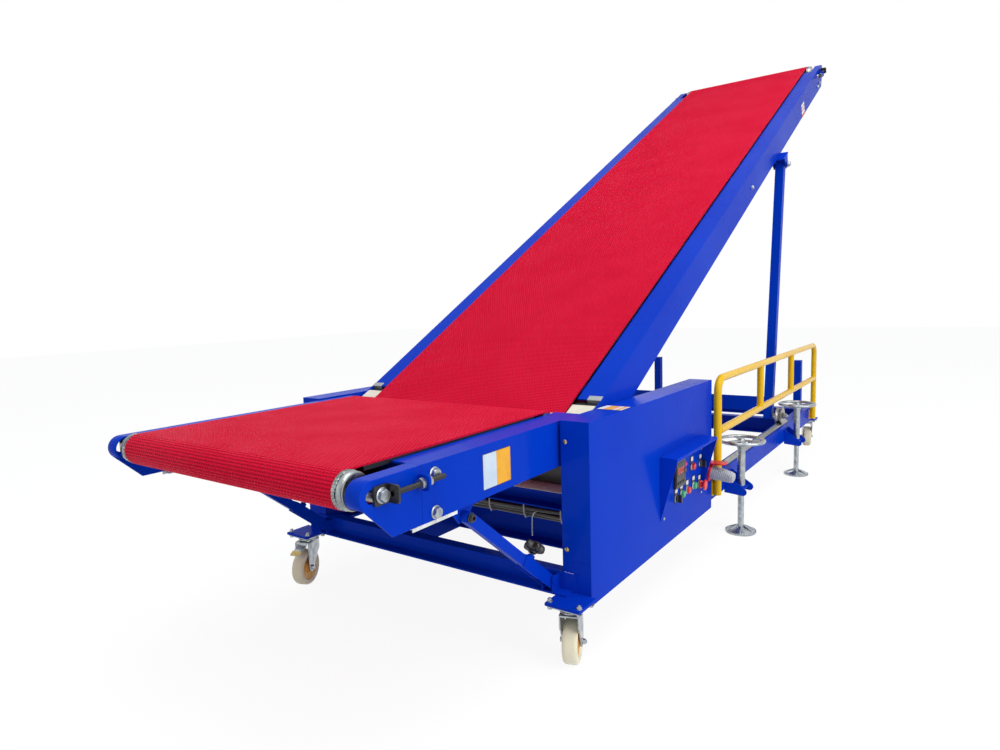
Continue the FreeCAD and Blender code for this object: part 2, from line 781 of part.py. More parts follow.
def prop_sleeves():
    """The lower half of each prop: a flat sleeve with a clamp knob on its upper side."""
    y = -prop_y
    inner = prop_bar / 2 + prop_slack
    half = prop_depth / 2
    deep = prop_bar_thick / 2 + gap
    outer = box(0, prop_sleeve, y - half, y + half, -prop_width / 2, prop_width / 2)
    outer = outer.fuse(rod(prop_width / 2, (0, y - half, 0), (0, y + half, 0)))
    slot = box(prop_width / 2, prop_sleeve + 1, y - deep, y + deep, -inner, inner)
    reach = half + prop_ear_gap + prop_ear + 2
    pin = rod(prop_pin, (0, y - reach, 0), (0, y + reach, 0))
    side = prop_width / 2
    stem = rod(6, (knob_at, y, side), (knob_at, y, side + 24))
    knob = rod(knob_radius, (knob_at, y, side + 24), (knob_at, y, side + 44))
    return both(at_prop(fuse([outer.cut(slot), pin, stem, knob])))


def prop_bars():
    """The upper half: a round-ended bar with the pin through the deck's lug."""
    y = -prop_y
    length = prop_length()
    half = prop_bar_thick / 2
    bar = box(prop_bar_end, length, y - half, y + half, -prop_bar / 2, prop_bar / 2)
    bar = bar.fuse(rod(prop_bar / 2, (length, y - half, 0), (length, y + half, 0)))
    pin = rod(prop_pin - fit, (length, y - half - 4, 0), (length, y + half + 14, 0))
    return both(at_prop(bar.fuse(pin)))


def nodes():
    out = {
        "chassis_rails": chassis_rails(),
        "chassis_members": chassis_members(),
        "castor_plates": castor_plates(),
        "castor_top_plates": castor_top_plates(),
        "roller_tracks": roller_tracks(),
        "rest_posts": rest_posts(),
        "side_covers": both(cover_shell()),
        "bearing_frames": both(bearing_frame()),
        "control_hood": control_hood(),
        "control_switches": control_switches(),
        "power_socket": power_socket(),
        "handrails": both(handrail()),
        "jack_brackets": Part.makeCompound([both(jack_bracket(x)) for x in jack_x]),
        "jack_handwheels": Part.makeCompound([both(handwheel(x)) for x in jack_x]),
        "infeed_frames": infeed_frames(),
        "infeed_ties": infeed_ties(),
        "infeed_noses": infeed_noses(),
        "infeed_bed": slider_bed(tail_x + bed_inset, head_x - bed_inset, deck_z),
        "infeed_belt": belt_loop(tail_x, head_x, deck_z, belt_width),
        "infeed_tail_drum": drum(tail_x, deck_z, drum_radius, end_drum_length, drum_shaft, frame_half),
        "infeed_head_drum": drum(head_x, deck_z, drum_radius, drum_length, drum_shaft, shaft_end),
        "infeed_tensioners": both(tensioner(tail_x, tail_x + nose_length, deck_z, frame_half)),
        "prop_sleeves": prop_sleeves(),
        "prop_bars": prop_bars(),
        "boom_frames": on_boom(boom_frames()),
        "boom_ties": on_boom(boom_ties()),
        "strut_brackets": on_boom(strut_brackets()),
        "boom_noses": on_boom(boom_noses()),
        "boom_bed": on_boom(slider_bed(bed_inset, boom_reach - bed_inset, 0)),
        "boom_belt": on_boom(belt_loop(0, boom_reach, 0, belt_width)),
        "boom_tail_drum": on_boom(drum(0, 0, drum_radius, drum_length, hinge_shaft, shaft_end)),
        "boom_head_drum": on_boom(
            drum(boom_reach, 0, drum_radius, end_drum_length, drum_shaft, boom_half)),
        "boom_idlers": on_boom(Part.makeCompound(
            [idler(boom_reach * share, 0, boom_half) for share in (0.25, 0.5, 0.75)])),
        "boom_tensioners": on_boom(both(tensioner(boom_reach, boom_reach - head_nose, 0, boom_half))),
        "strut_legs": strut_legs(),
        "strut_beam": strut_beam(),
        "roller_axles": roller_axles(),
        "track_roller_near": track_roller(),
        "track_roller_far": mirrored(track_roller()),
    }
    for number, x in enumerate(jack_x):
        for side, sign in SIDES.items():
            leg = jack_leg(x)
            out["jack_leg_%s_%s" % (("front", "rear")[number], side)] = leg if sign < 0 else mirrored(leg)
    for name in castor_yaw:
        out["castor_fork_" + name] = at_castor(castor_fork(), name)
        out["castor_wheel_" + name] = at_castor(castor_wheel(), name)
    return out


os.makedirs("parts", exist_ok=True)
for name, shape in nodes().items():
    shape.translate(V(-origin_x, 0, 0))
    shape.exportStep("parts/%s.step" % name)
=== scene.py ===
import json
import math

import bmesh
import bpy
import numpy as np
from mathutils import Matrix, Vector

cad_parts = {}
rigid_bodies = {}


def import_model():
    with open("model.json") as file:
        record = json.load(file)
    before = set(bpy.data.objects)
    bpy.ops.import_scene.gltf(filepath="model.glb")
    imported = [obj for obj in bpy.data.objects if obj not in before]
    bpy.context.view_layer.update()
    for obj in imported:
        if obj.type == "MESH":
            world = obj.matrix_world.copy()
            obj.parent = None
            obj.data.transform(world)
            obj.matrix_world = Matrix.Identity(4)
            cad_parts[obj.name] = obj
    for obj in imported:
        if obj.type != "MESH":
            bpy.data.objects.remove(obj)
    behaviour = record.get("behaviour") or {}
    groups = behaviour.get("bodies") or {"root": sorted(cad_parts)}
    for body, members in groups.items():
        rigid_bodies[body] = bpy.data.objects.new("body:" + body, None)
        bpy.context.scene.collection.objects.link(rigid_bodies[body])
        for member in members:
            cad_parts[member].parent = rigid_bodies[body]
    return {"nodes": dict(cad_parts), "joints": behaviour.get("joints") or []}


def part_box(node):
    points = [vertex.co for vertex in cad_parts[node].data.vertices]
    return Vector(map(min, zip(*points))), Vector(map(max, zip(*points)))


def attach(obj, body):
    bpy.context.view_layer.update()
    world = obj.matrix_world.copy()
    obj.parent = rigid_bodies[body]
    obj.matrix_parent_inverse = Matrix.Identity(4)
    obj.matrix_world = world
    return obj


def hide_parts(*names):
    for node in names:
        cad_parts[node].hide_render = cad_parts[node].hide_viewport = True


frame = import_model()
for spare in [o for o in bpy.data.objects if o.name in ("Cube", "Light", "Camera")]:
    bpy.data.objects.remove(spare)
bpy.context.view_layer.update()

# ---- Stage
# The machine stands on a plain pale floor under a white sky. One large soft lamp lights the belt
# from above, a second one lights the control side, and a weak one opens the shade at the infeed end.
scene = bpy.context.scene
scene.view_settings.view_transform = "Standard"

sky_light = 0.45
sky_tint = (0.93, 0.96, 1.0, 1.0)
half_floor = 20.0
floor_grey = 0.80
floor_glow = 1.08
floor_glow_share = 0.84
lamps = {
    "lamp_over_belt": ((-1.6, -1.5, 6.0), (0.3, 0.0, 0.9), 5.0, 210.0),
    "lamp_control_side": ((-1.5, -6.0, 2.6), (0.0, 0.0, 1.0), 4.0, 150.0),
    "lamp_infeed_end": ((-7.0, 1.5, 2.2), (-1.0, 0.0, 0.7), 3.0, 20.0),
}


def aimed(way, roll=0.0):
    """Turns a lamp or camera, which looks along its own -Z, to look along `way`, then rolls it."""
    return way.to_track_quat("-Z", "Y").to_matrix().to_4x4() @ Matrix.Rotation(roll, 4, "Z")


for lamp_name, (at, to, size, power) in lamps.items():
    lamp_data = bpy.data.lights.new(lamp_name, "AREA")
    lamp_data.size = size
    lamp_data.energy = power
    lamp = bpy.data.objects.new(lamp_name, lamp_data)
    lamp.matrix_world = Matrix.Translation(at) @ aimed(Vector(to) - Vector(at))
    scene.collection.objects.link(lamp)


def worked(tree, operation, first, second=None):
    """A Math node's result from a socket and, where given, a second socket or a plain number."""
    node = tree.nodes.new("ShaderNodeMath")
    node.operation = operation
    tree.links.new(first, node.inputs[0])
    if isinstance(second, float):
        node.inputs[1].default_value = second
    elif second is not None:
        tree.links.new(second, node.inputs[1])
    return node.outputs[0]


def white_to_the_eye(tree, lit, plain, share=1.0):
    """Shows `plain` to camera, mirror and glass rays, and `lit` to the rays that light the object.
    With a share below 1, those rays see that much of `plain` and the rest of `lit`."""
    path = tree.nodes.new("ShaderNodeLightPath")
    seen = path.outputs["Is Camera Ray"]
    for ray in ("Is Glossy Ray", "Is Transmission Ray"):
        seen = worked(tree, "MAXIMUM", seen, path.outputs[ray])
    mix = tree.nodes.new("ShaderNodeMixShader")
    tree.links.new(worked(tree, "MULTIPLY", seen, share), mix.inputs[0])
    tree.links.new(lit, mix.inputs[1])
    tree.links.new(plain, mix.inputs[2])
    return mix.outputs[0]


world = bpy.data.worlds.new("white_sky")
scene.world = world
world.use_nodes = True
sky = world.node_tree
sky_lit = sky.nodes["Background"]
sky_lit.inputs["Color"].default_value = sky_tint
sky_lit.inputs["Strength"].default_value = sky_light
sky_plain = sky.nodes.new("ShaderNodeBackground")
sky_plain.inputs["Color"].default_value = (1.0, 1.0, 1.0, 1.0)
sky_plain.inputs["Strength"].default_value = 1.0
sky.links.new(white_to_the_eye(sky, sky_lit.outputs[0], sky_plain.outputs[0]),
              sky.nodes["World Output"].inputs["Surface"])

floor_mesh = bpy.data.meshes.new("floor")
floor_corners = [(x * half_floor, y * half_floor, 0) for x, y in ((-1, -1), (1, -1), (1, 1), (-1, 1))]
floor_mesh.from_pydata(floor_corners, [], [(0, 1, 2, 3)])
floor = bpy.data.objects.new("floor", floor_mesh)
scene.collection.objects.link(floor)
floor_paint = bpy.data.materials.new("pale_floor")
floor_paint.use_nodes = True
floor_tree = floor_paint.node_tree
floor_shader = floor_tree.nodes["Principled BSDF"]
floor_shader.inputs["Base Color"].default_value = (floor_grey, floor_grey, floor_grey, 1.0)
floor_shader.inputs["Roughness"].default_value = 0.9
floor_plain = floor_tree.nodes.new("ShaderNodeEmission")
floor_plain.inputs["Strength"].default_value = floor_glow
floor_look = white_to_the_eye(floor_tree, floor_shader.outputs[0], floor_plain.outputs[0], floor_glow_share)
floor_tree.links.new(floor_look, floor_tree.nodes["Material Output"].inputs["Surface"])
floor_mesh.materials.append(floor_paint)

# The eye stands at the control side's infeed corner, a little above the deck, and looks along the
# boom. The lens is wide, which makes the near corner large and the far end small.
eye = Vector((-3.3917, -1.5777, 1.1135))
eye_turn = math.radians(35.3933)
eye_dip = math.radians(-6.2172)
eye_roll = math.radians(-1.7418)
lens_width = 36.0
lens_reach = 24.088
look = Vector((math.cos(eye_turn) * math.cos(eye_dip), math.sin(eye_turn) * math.cos(eye_dip),
               math.sin(eye_dip)))
camera_data = bpy.data.cameras.new("camera")
camera_data.sensor_width = lens_width
camera_data.lens = lens_reach
camera = bpy.data.objects.new("camera", camera_data)
camera.matrix_world = Matrix.Translation(eye) @ aimed(look, eye_roll)
scene.collection.objects.link(camera)
scene.camera = camera

# ---- Painted steel
# Frames, rails, covers and brackets are folded sheet and rolled channel, powder coated in a deep
# glossy ultramarine. Their edges are broken by a small round, as a fold or a deburred cut leaves them.
blue_paint_colours = ((0.001, 0.042, 0.530), (0.001, 0.036, 0.490))
yellow_paint_colours = ((0.82, 0.50, 0.003), (0.77, 0.46, 0.002))
cover_fold, bracket_fold, frame_fold = 0.0012, 0.0015, 0.003


def noise(tree, scale, detail=2.0, stretch=(1.0, 1.0, 1.0)):
    """Soft noise over the object, `scale` waves to the metre, stretched along the axes."""
    place = tree.nodes.new("ShaderNodeTexCoord")
    mapping = tree.nodes.new("ShaderNodeMapping")
    mapping.inputs["Scale"].default_value = stretch
    grain = tree.nodes.new("ShaderNodeTexNoise")
    grain.inputs["Scale"].default_value = scale
    grain.inputs["Detail"].default_value = detail
    tree.links.new(place.outputs["Object"], mapping.inputs["Vector"])
    tree.links.new(mapping.outputs["Vector"], grain.inputs["Vector"])
    return grain.outputs["Fac"]


def spread(tree, value, low, high):
    """Maps the middle of a noise, 0.35 to 0.65, onto low to high."""
    scale = tree.nodes.new("ShaderNodeMapRange")
    scale.inputs["From Min"].default_value = 0.35
    scale.inputs["From Max"].default_value = 0.65
    scale.inputs["To Min"].default_value = low
    scale.inputs["To Max"].default_value = high
    tree.links.new(value, scale.inputs["Value"])
    return scale.outputs["Result"]


def finish(name, colours, grain, rough, fine=0.0, fine_scale=400.0, stretch=(1.0, 1.0, 1.0), metal=0.0):
    """A surface: two near colours mixed by a noise of `grain` waves a metre, roughness between the
    two values of `rough` by the same noise, and a relief of `fine` metres at `fine_scale`."""
    skin = bpy.data.materials.new(name)
    skin.use_nodes = True
    tree = skin.node_tree
    shader = tree.nodes["Principled BSDF"]
    shader.inputs["Metallic"].default_value = metal
    patches = noise(tree, grain, 4.0, stretch)
    mix = tree.nodes.new("ShaderNodeMix")
    mix.data_type = "RGBA"
    mix.inputs["A"].default_value = (*colours[0], 1.0)
    mix.inputs["B"].default_value = (*colours[1], 1.0)
    tree.links.new(spread(tree, patches, 0.0, 1.0), mix.inputs["Factor"])
    tree.links.new(mix.outputs["Result"], shader.inputs["Base Color"])
    tree.links.new(spread(tree, patches, *rough), shader.inputs["Roughness"])
    if fine:
        bump = tree.nodes.new("ShaderNodeBump")
        bump.inputs["Distance"].default_value = fine
        tree.links.new(noise(tree, fine_scale, 2.0, stretch), bump.inputs["Height"])
        tree.links.new(bump.outputs["Normal"], shader.inputs["Normal"])
    return skin


def shader_of(skin):
    return skin.node_tree.nodes["Principled BSDF"]


def enamel(name, colours, gloss, coat):
    """Gloss powder coat: a shallow orange peel about 4 mm across, under a clear skin."""
    skin = finish(name, colours, 2.2, (0.20, 0.30), 0.0004, 230.0)
    shader_of(skin).inputs["Specular IOR Level"].default_value = gloss
    shader_of(skin).inputs["Coat Weight"].default_value = coat
    shader_of(skin).inputs["Coat Roughness"].default_value = 0.08
    return skin


blue_paint = enamel("blue_paint", blue_paint_colours, 0.010, 0.05)
yellow_paint = enamel("yellow_paint", yellow_paint_colours, 0.14, 0.16)


def break_edge(piece, radius, segments):
    """Rounds the edges that are sharper than 35 degrees, as a fold or a file leaves them."""
    broken = piece.modifiers.new("broken_edge", "BEVEL")
    broken.width = radius
    broken.segments = segments
    broken.limit_method = "ANGLE"
    broken.angle_limit = math.radians(35.0)
    return broken


def dress(names, skin, edge=0.0):
    """Gives CAD pieces their finish. With an edge, their sharp edges get a round of that radius."""
    for name in names:
        piece = frame["nodes"][name]
        for part in piece.material_slots:
            part.material = skin
        if edge:
            weld = piece.modifiers.new("joined", "WELD")
            weld.merge_threshold = 1e-5
            flat = piece.modifiers.new("flat", "DECIMATE")
            flat.decimate_type = "DISSOLVE"
            flat.angle_limit = math.radians(1.0)
            break_edge(piece, edge, 3).harden_normals = True


dress(("chassis_rails", "chassis_members", "rest_posts", "strut_beam", "strut_legs", "infeed_ties",
       "boom_ties", "prop_bars", "prop_sleeves", "castor_plates", "bearing_frames", "jack_brackets",
       "strut_brackets"), blue_paint, bracket_fold)
dress(("infeed_frames", "boom_frames", "infeed_noses", "boom_noses"), blue_paint, frame_fold)
dress(("side_covers", "control_hood"), blue_paint, cover_fold)
dress(("handrails",), yellow_paint)

# ---- Belts
# Two endless rubber belts, crimson all through, with a fine rounded rib every 9 mm across the run.
# Each is one rib profile carried round its two drums, and the belt's edges are cut square.
belt_red_colours = ((0.76, 0.007, 0.045), (0.72, 0.006, 0.040))
rib_pitch = 0.009
rib_height = 0.0016
rib_points = 8
bead_pitch = 0.011
bead_depth = 0.0010
belt_overhang = 0.0025
belt_thickness = 0.005
drum_low, drum_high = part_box("infeed_tail_drum")
drum_radius = (drum_high.z - drum_low.z) / 2
belt_outer_radius = drum_radius + belt_thickness


def grid_faces(rows, columns, closed_rows=False, closed_columns=False):
    """Quads between neighbours of a rows by columns grid of points, closed to the start where asked."""
    r = np.arange(rows if closed_rows else rows - 1)
    c = np.arange(columns if closed_columns else columns - 1)
    r, c = (a.ravel() for a in np.meshgrid(r, c, indexing="ij"))
    r1, c1 = (r + 1) % rows, (c + 1) % columns
    return np.stack([r * columns + c, r * columns + c1, r1 * columns + c1, r1 * columns + c], 1)


def joined(shapes):
    """Several (points, faces) shapes as one: each one's faces count past the points before it."""
    points, faces, seen = [], [], 0
    for shape_points, shape_faces in shapes:
        points.append(np.asarray(shape_points, float))
        faces += [[int(i) + seen for i in face] for face in shape_faces]
        seen += len(shape_points)
    return np.concatenate(points), faces


def piece_of(name, shape, skin, body, replaces=(), edge=0.0, smooth=40.0, skins=(), which=None):
    """Makes a mesh piece of (points, faces), merges its seams, turns its faces outwards, smooths it
    up to `smooth` degrees, and fixes it to its body. `which` gives each face's finish."""
    points, faces = shape
    mesh = bpy.data.meshes.new(name)
    mesh.from_pydata([tuple(p) for p in points], [], [list(face) for face in faces])
    for each in (skin, *skins):
        mesh.materials.append(each)
    if which is not None:
        mesh.polygons.foreach_set("material_index", which)
    work = bmesh.new()
    work.from_mesh(mesh)
    bmesh.ops.remove_doubles(work, verts=work.verts, dist=1e-6)
    bmesh.ops.recalc_face_normals(work, faces=work.faces)
    work.to_mesh(mesh)
    work.free()
    mesh.polygons.foreach_set("use_smooth", [True] * len(mesh.polygons))
    mesh.set_sharp_from_angle(angle=math.radians(smooth))
    piece = bpy.data.objects.new(name, mesh)
    scene.collection.objects.link(piece)
    if edge:
        break_edge(piece, edge, 2)
    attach(piece, body)
    if replaces:
        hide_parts(*replaces)
    return piece


def middle(node):
    """The centre of a CAD piece's box: for a drum, roller or wheel, a point on its axis."""
    low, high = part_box(node)
    return (low + high) / 2


belt_red = finish("belt_red", belt_red_colours, 5.0, (0.42, 0.52))
shader_of(belt_red).inputs["Specular IOR Level"].default_value = 0.03


def beaded_with_painted_rib_shade(skin):
    """Presses beads into the ribs: cos across the belt times cos of half a rib along it, by the
    belt's own UV, which counts ribs along and metres across. Paints shade into the base colour in the
    hollows between the ribs, and a slight painted highlight on their crests."""
    tree = skin.node_tree
    shader = shader_of(skin)
    place = tree.nodes.new("ShaderNodeUVMap")
    apart = tree.nodes.new("ShaderNodeSeparateXYZ")
    tree.links.new(place.outputs["UV"], apart.inputs["Vector"])
    whole_rib, across, half_rib = (
        worked(tree, "COSINE", worked(tree, "MULTIPLY", apart.outputs[axis], 2 * math.pi * waves))
        for axis, waves in (("X", 1.0), ("Y", 1 / bead_pitch), ("X", 0.5)))
    bump = tree.nodes.new("ShaderNodeBump")
    bump.inputs["Distance"].default_value = bead_depth
    tree.links.new(worked(tree, "MULTIPLY", across, half_rib), bump.inputs["Height"])
    tree.links.new(bump.outputs["Normal"], shader.inputs["Normal"])
    # Painted shade and highlight: the base colour is scaled to 0.70 in the hollows between the ribs and to
    # 1.06 on their crests.
    shade = tree.nodes.new("ShaderNodeMapRange")
    shade.inputs["From Min"].default_value = -1.0
    shade.inputs["From Max"].default_value = 1.0
    shade.inputs["To Min"].default_value = 1.06
    shade.inputs["To Max"].default_value = 0.70
    tree.links.new(whole_rib, shade.inputs["Value"])
    dark = tree.nodes.new("ShaderNodeVectorMath")
    dark.operation = "SCALE"
    tree.links.new(shader.inputs["Base Color"].links[0].from_socket, dark.inputs[0])
    tree.links.new(shade.outputs["Result"], dark.inputs["Scale"])
    tree.links.new(dark.outputs["Vector"], shader.inputs["Base Color"])


# The crimson belt skin gets beads in relief, painted shade in the rib hollows and a painted highlight on the
# crests.
beaded_with_painted_rib_shade(belt_red)


def belt(name, body, tail, head, node):
    """The loop at distance s from the tail drum's top: straight to the head drum, half round it, back
    and half round the tail. Its outside is rib_height * (1 - |sin(pi s / rib_pitch)|) under the crests."""
    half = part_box(node)[1].y + belt_overhang
    run = (head - tail).length
    along = np.array((head - tail).normalized())
    up = np.array((-along[2], 0.0, along[0]))
    outer = belt_outer_radius
    half_turn = math.pi * outer
    total = 2 * run + 2 * half_turn
    ribs = round(total / rib_pitch)
    s = np.arange(ribs * rib_points) / (ribs * rib_points) * total
    rib = rib_height * np.abs(np.sin(math.pi * s * ribs / total)) - rib_height
    back = np.clip(2 * run + half_turn - s, 0, run)
    way = np.where(s < run, s, np.where(s < run + half_turn, run, back))
    turn = np.clip((s - run) / outer, 0, math.pi) + np.clip((s - 2 * run - half_turn) / outer, 0, math.pi)
    normal = np.outer(np.cos(turn), up) + np.outer(np.sin(turn), along)
    centre = np.array(tail) + np.outer(way, along)
    skin_line = centre + normal * (outer + rib)[:, None]
    inner_line = centre + normal * (outer - belt_thickness)
    shift = np.array((0.0, half, 0.0))
    ring = np.stack([skin_line - shift, skin_line + shift, inner_line + shift, inner_line - shift], 1)
    faces = grid_faces(len(s), 4, closed_rows=True, closed_columns=True)
    piece = piece_of(name, (ring.reshape(-1, 3), faces), belt_red, body, (node,), smooth=50.0)
    where = np.empty(len(piece.data.loops), int)
    piece.data.loops.foreach_get("vertex_index", where)
    uv = np.stack([np.repeat(s * ribs / total, 4)[where], ring.reshape(-1, 3)[where, 1]], 1)
    piece.data.uv_layers.new(name="run_and_width").data.foreach_set("uv", uv.ravel())


deck_tail = middle("infeed_tail_drum")
deck_head = middle("infeed_head_drum")
boom_tail = middle("boom_tail_drum")
boom_head = middle("boom_head_drum")
for end in (deck_tail, deck_head, boom_tail, boom_head):
    end.y = 0.0
belt("belt_infeed", "infeed", deck_tail, deck_head, "infeed_belt")
belt("belt_boom", "boom", boom_tail, boom_head, "boom_belt")

# ---- Drums and rollers
# Turned steel tubes on through shafts. The ends that stand out beside the belt are knurled bright,
# and the return rollers are plain tube.
steel_colours = ((0.40, 0.40, 0.39), (0.28, 0.28, 0.28))
bright_colours = ((0.44, 0.47, 0.47), (0.22, 0.25, 0.26))
turned_steel = finish("turned_steel", steel_colours, 60.0, (0.25, 0.40), 0.0002, 900.0, (1.0, 0.05, 1.0), 1.0)
knurled_steel = finish("knurled_steel", bright_colours, 26.0, (0.20, 0.34), 0.0003, 500.0, metal=1.0)
dress(("infeed_tail_drum", "infeed_head_drum", "boom_tail_drum", "boom_head_drum", "boom_idlers",
       "roller_axles"), turned_steel)
drum_end_rise = 0.004
knurls = 30
knurl_height = 0.0007


def round_angles(steps):
    """Equal angles once round, from zero."""
    return np.arange(steps) * 2 * math.pi / steps

def frame_along(way):
    """Two unit vectors square to `way` and to each other."""
    way = np.array(way, float) / np.linalg.norm(way)
    helper = np.array((0.0, 0.0, 1.0)) if abs(way[2]) < 0.9 else np.array((1.0, 0.0, 0.0))
    side = np.cross(helper, way)
    side /= np.linalg.norm(side)
    return way, side, np.cross(way, side)


def spokes(angle, side, up):
    """Unit vectors at each angle from `side` towards `up`."""
    return np.outer(np.cos(angle), side) + np.outer(np.sin(angle), up)


def capped(rings):
    """A skin over a stack of closed rings with the same number of points, closed flat at both ends."""
    rings = np.asarray(rings, float)
    count, steps = rings.shape[:2]
    faces = grid_faces(count, steps, closed_columns=True).tolist()
    faces += [list(range(steps)), list(range((count - 1) * steps, count * steps))]
    return rings.reshape(-1, 3), faces


def lathed(profile, at, way, steps):
    """Rings: each (distance along `way`, radius) of the profile turned round the line from `at`."""
    way, side, up = frame_along(way)
    profile = np.array(profile, float)
    spoke = spokes(round_angles(steps), side, up)
    return np.array(at, float) + profile[:, None, :1] * way + profile[:, None, 1:] * spoke


def turned(profile, at, way, steps=32):
    """A lathe shape with flat ends."""
    return capped(lathed(profile, at, way, steps))


def ring_of(profile, at, way, steps=32):
    """A closed ring, such as a collar or a rim: a closed profile turned."""
    return lathed(profile, at, way, steps).reshape(-1, 3), grid_faces(len(profile), steps, True, True)


def knurled_end(centre, side, radius):
    """A drum's end: a knurled band whose radius goes up and down by cos * cos, then a groove and a
    smooth shoulder that steps down to the shaft. The profile is (out, drop, sign of the knurl)."""
    angle = round_angles(96)
    profile = [(0.0, -0.004, 0)] + [(0.001 + 0.011 * k / 10, 0.0, 1 if k % 2 else -1) for k in range(11)]
    profile += [(0.0125, -0.0040, 0), (0.0150, -0.0040, 0), (0.0152, -0.0012, 0), (0.0270, -0.0012, 0),
                (0.0290, -0.0040, 0), (0.0290, -0.0160, 0)]
    rings = []
    for out, drop, knurl in profile:
        r = radius + drop + knurl_height * knurl * np.cos(angle * knurls)
        rings.append(np.stack([centre[0] + r * np.cos(angle), np.full(len(angle), centre[1] + side * out),
                               centre[2] + r * np.sin(angle)], 1))
    return capped(rings)


belt_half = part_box("infeed_belt")[1].y
for body, drum in (("infeed", deck_tail), ("boom", boom_head)):
    ends = [knurled_end((drum.x, side * (belt_half + 0.001), drum.z), side, drum_radius + drum_end_rise)
            for side in (-1, 1)]
    piece_of("drum_ends_" + body, joined(ends), knurled_steel, body, smooth=60.0)

# ---- Nose blocks, bolts and belt tensioners
# Each side frame ends in a bolted nose block with a slot for the drum shaft. A black angle bracket on
# the shaft's bolt is pulled by a threaded rod through a blue lug, with a zinc nut on each side of it.
zinc_colours = ((0.48, 0.51, 0.54), (0.30, 0.33, 0.36))
black_colours = ((0.012, 0.012, 0.013), (0.022, 0.022, 0.024))
bright_zinc = finish("bright_zinc", zinc_colours, 45.0, (0.20, 0.38), 0.0003, 500.0, metal=0.9)
black_oxide = finish("black_oxide", black_colours, 90.0, (0.30, 0.50), 0.0003, 700.0)


def hexagon(at, way, across, height, turn=0.0):
    """A nut or bolt head: 24 points round, the radius at each angle that of a hexagon, cut down to a
    circle at its chamfered end."""
    way, side, up = frame_along(way)
    angle = round_angles(24)
    flat = across / 2
    hexed = flat / np.cos((angle + turn + math.pi / 6) % (math.pi / 3) - math.pi / 6)
    rounded_off = np.minimum(hexed, flat * 1.03) * 0.97
    spoke = spokes(angle, side, up)
    return capped([np.array(at, float) + along * way + radius[:, None] * spoke
                   for along, radius in ((0.0, hexed), (height * 0.84, hexed), (height, rounded_off))])


def bolt(at, way, size, head=True):
    """A bolt head or nut of thread `size` on its washer, standing on a face at `at`."""
    way = np.array(way, float) / np.linalg.norm(way)
    at = np.array(at, float)
    washer = turned([(0.0, size * 1.05), (size * 0.14, size * 1.05), (size * 0.18, size)], at, way, 24)
    seat = at + way * size * 0.18
    nut = hexagon(seat, way, size * 1.55, size * (0.62 if head else 0.80), turn=0.3)
    end = turned([(0.0, size * 0.5), (size * 1.25, size * 0.5), (size * 1.35, size * 0.4)], at, way, 16)
    return [washer, nut] if head else [washer, nut, end]


thread_pitch = 0.002
thread_depth = 0.0007


def threaded(start, end, radius):
    """A threaded rod: the radius falls and rises once a pitch, as rounded rings."""
    start, end = np.array(start, float), np.array(end, float)
    rows = np.arange(0.0, np.linalg.norm(end - start), thread_pitch / 2)
    radii = radius - thread_depth * (np.arange(len(rows)) % 2)
    radii[0] = radii[-1] = radius * 0.8
    return turned(np.stack([rows, radii], 1), start, end - start, 16)


def slab(outline, at, along, across, thick):
    """A flat plate: its outline of (along, across) points, thickened square to both."""
    at, along, across = (np.array(v, float) for v in (at, along, across))
    normal = np.cross(along, across)
    outline = np.array(outline, float)
    face = at + outline[:, :1] * along + outline[:, 1:] * across
    count = len(outline)
    faces = [list(range(count)), list(range(count, 2 * count))]
    faces += [[i, (i + 1) % count, count + (i + 1) % count, count + i] for i in range(count)]
    return np.concatenate([face, face + normal * thick]), faces


def rounded(width, height, radius, steps=6):
    """A rectangle centred on zero with its corners rounded by quarter circles."""
    quarter = np.linspace(0, math.pi / 2, steps)
    corners = ((1, 1, 0), (-1, 1, 1), (-1, -1, 2), (1, -1, 3))
    arcs = [np.stack([sx * (width / 2 - radius) + radius * np.cos(quarter + k * math.pi / 2),
                      sy * (height / 2 - radius) + radius * np.sin(quarter + k * math.pi / 2)], 1)
            for sx, sy, k in corners]
    return np.concatenate(arcs)


bracket_plate = rounded(0.046, 0.044, 0.006)
bracket_arm = rounded(0.038, 0.042, 0.008)
bracket_sheet = 0.006
bracket_past_axis = 0.010
bracket_gap = 0.0005
arm_past_axis = 0.027
rod_out = 0.020
rod_radius = 0.0065
rod_past_joint = 0.062
shaft_bolt = 0.017
shaft_bolt_past_axis = 0.008
shaft_bolt_out = 0.007
lug_plate = rounded(0.036, 0.040, 0.012)
lug_thick = 0.008
lug_before_joint = 0.010
rod_nut_across, rod_nut_high = 0.024, 0.013
rod_nut_gap = 0.001


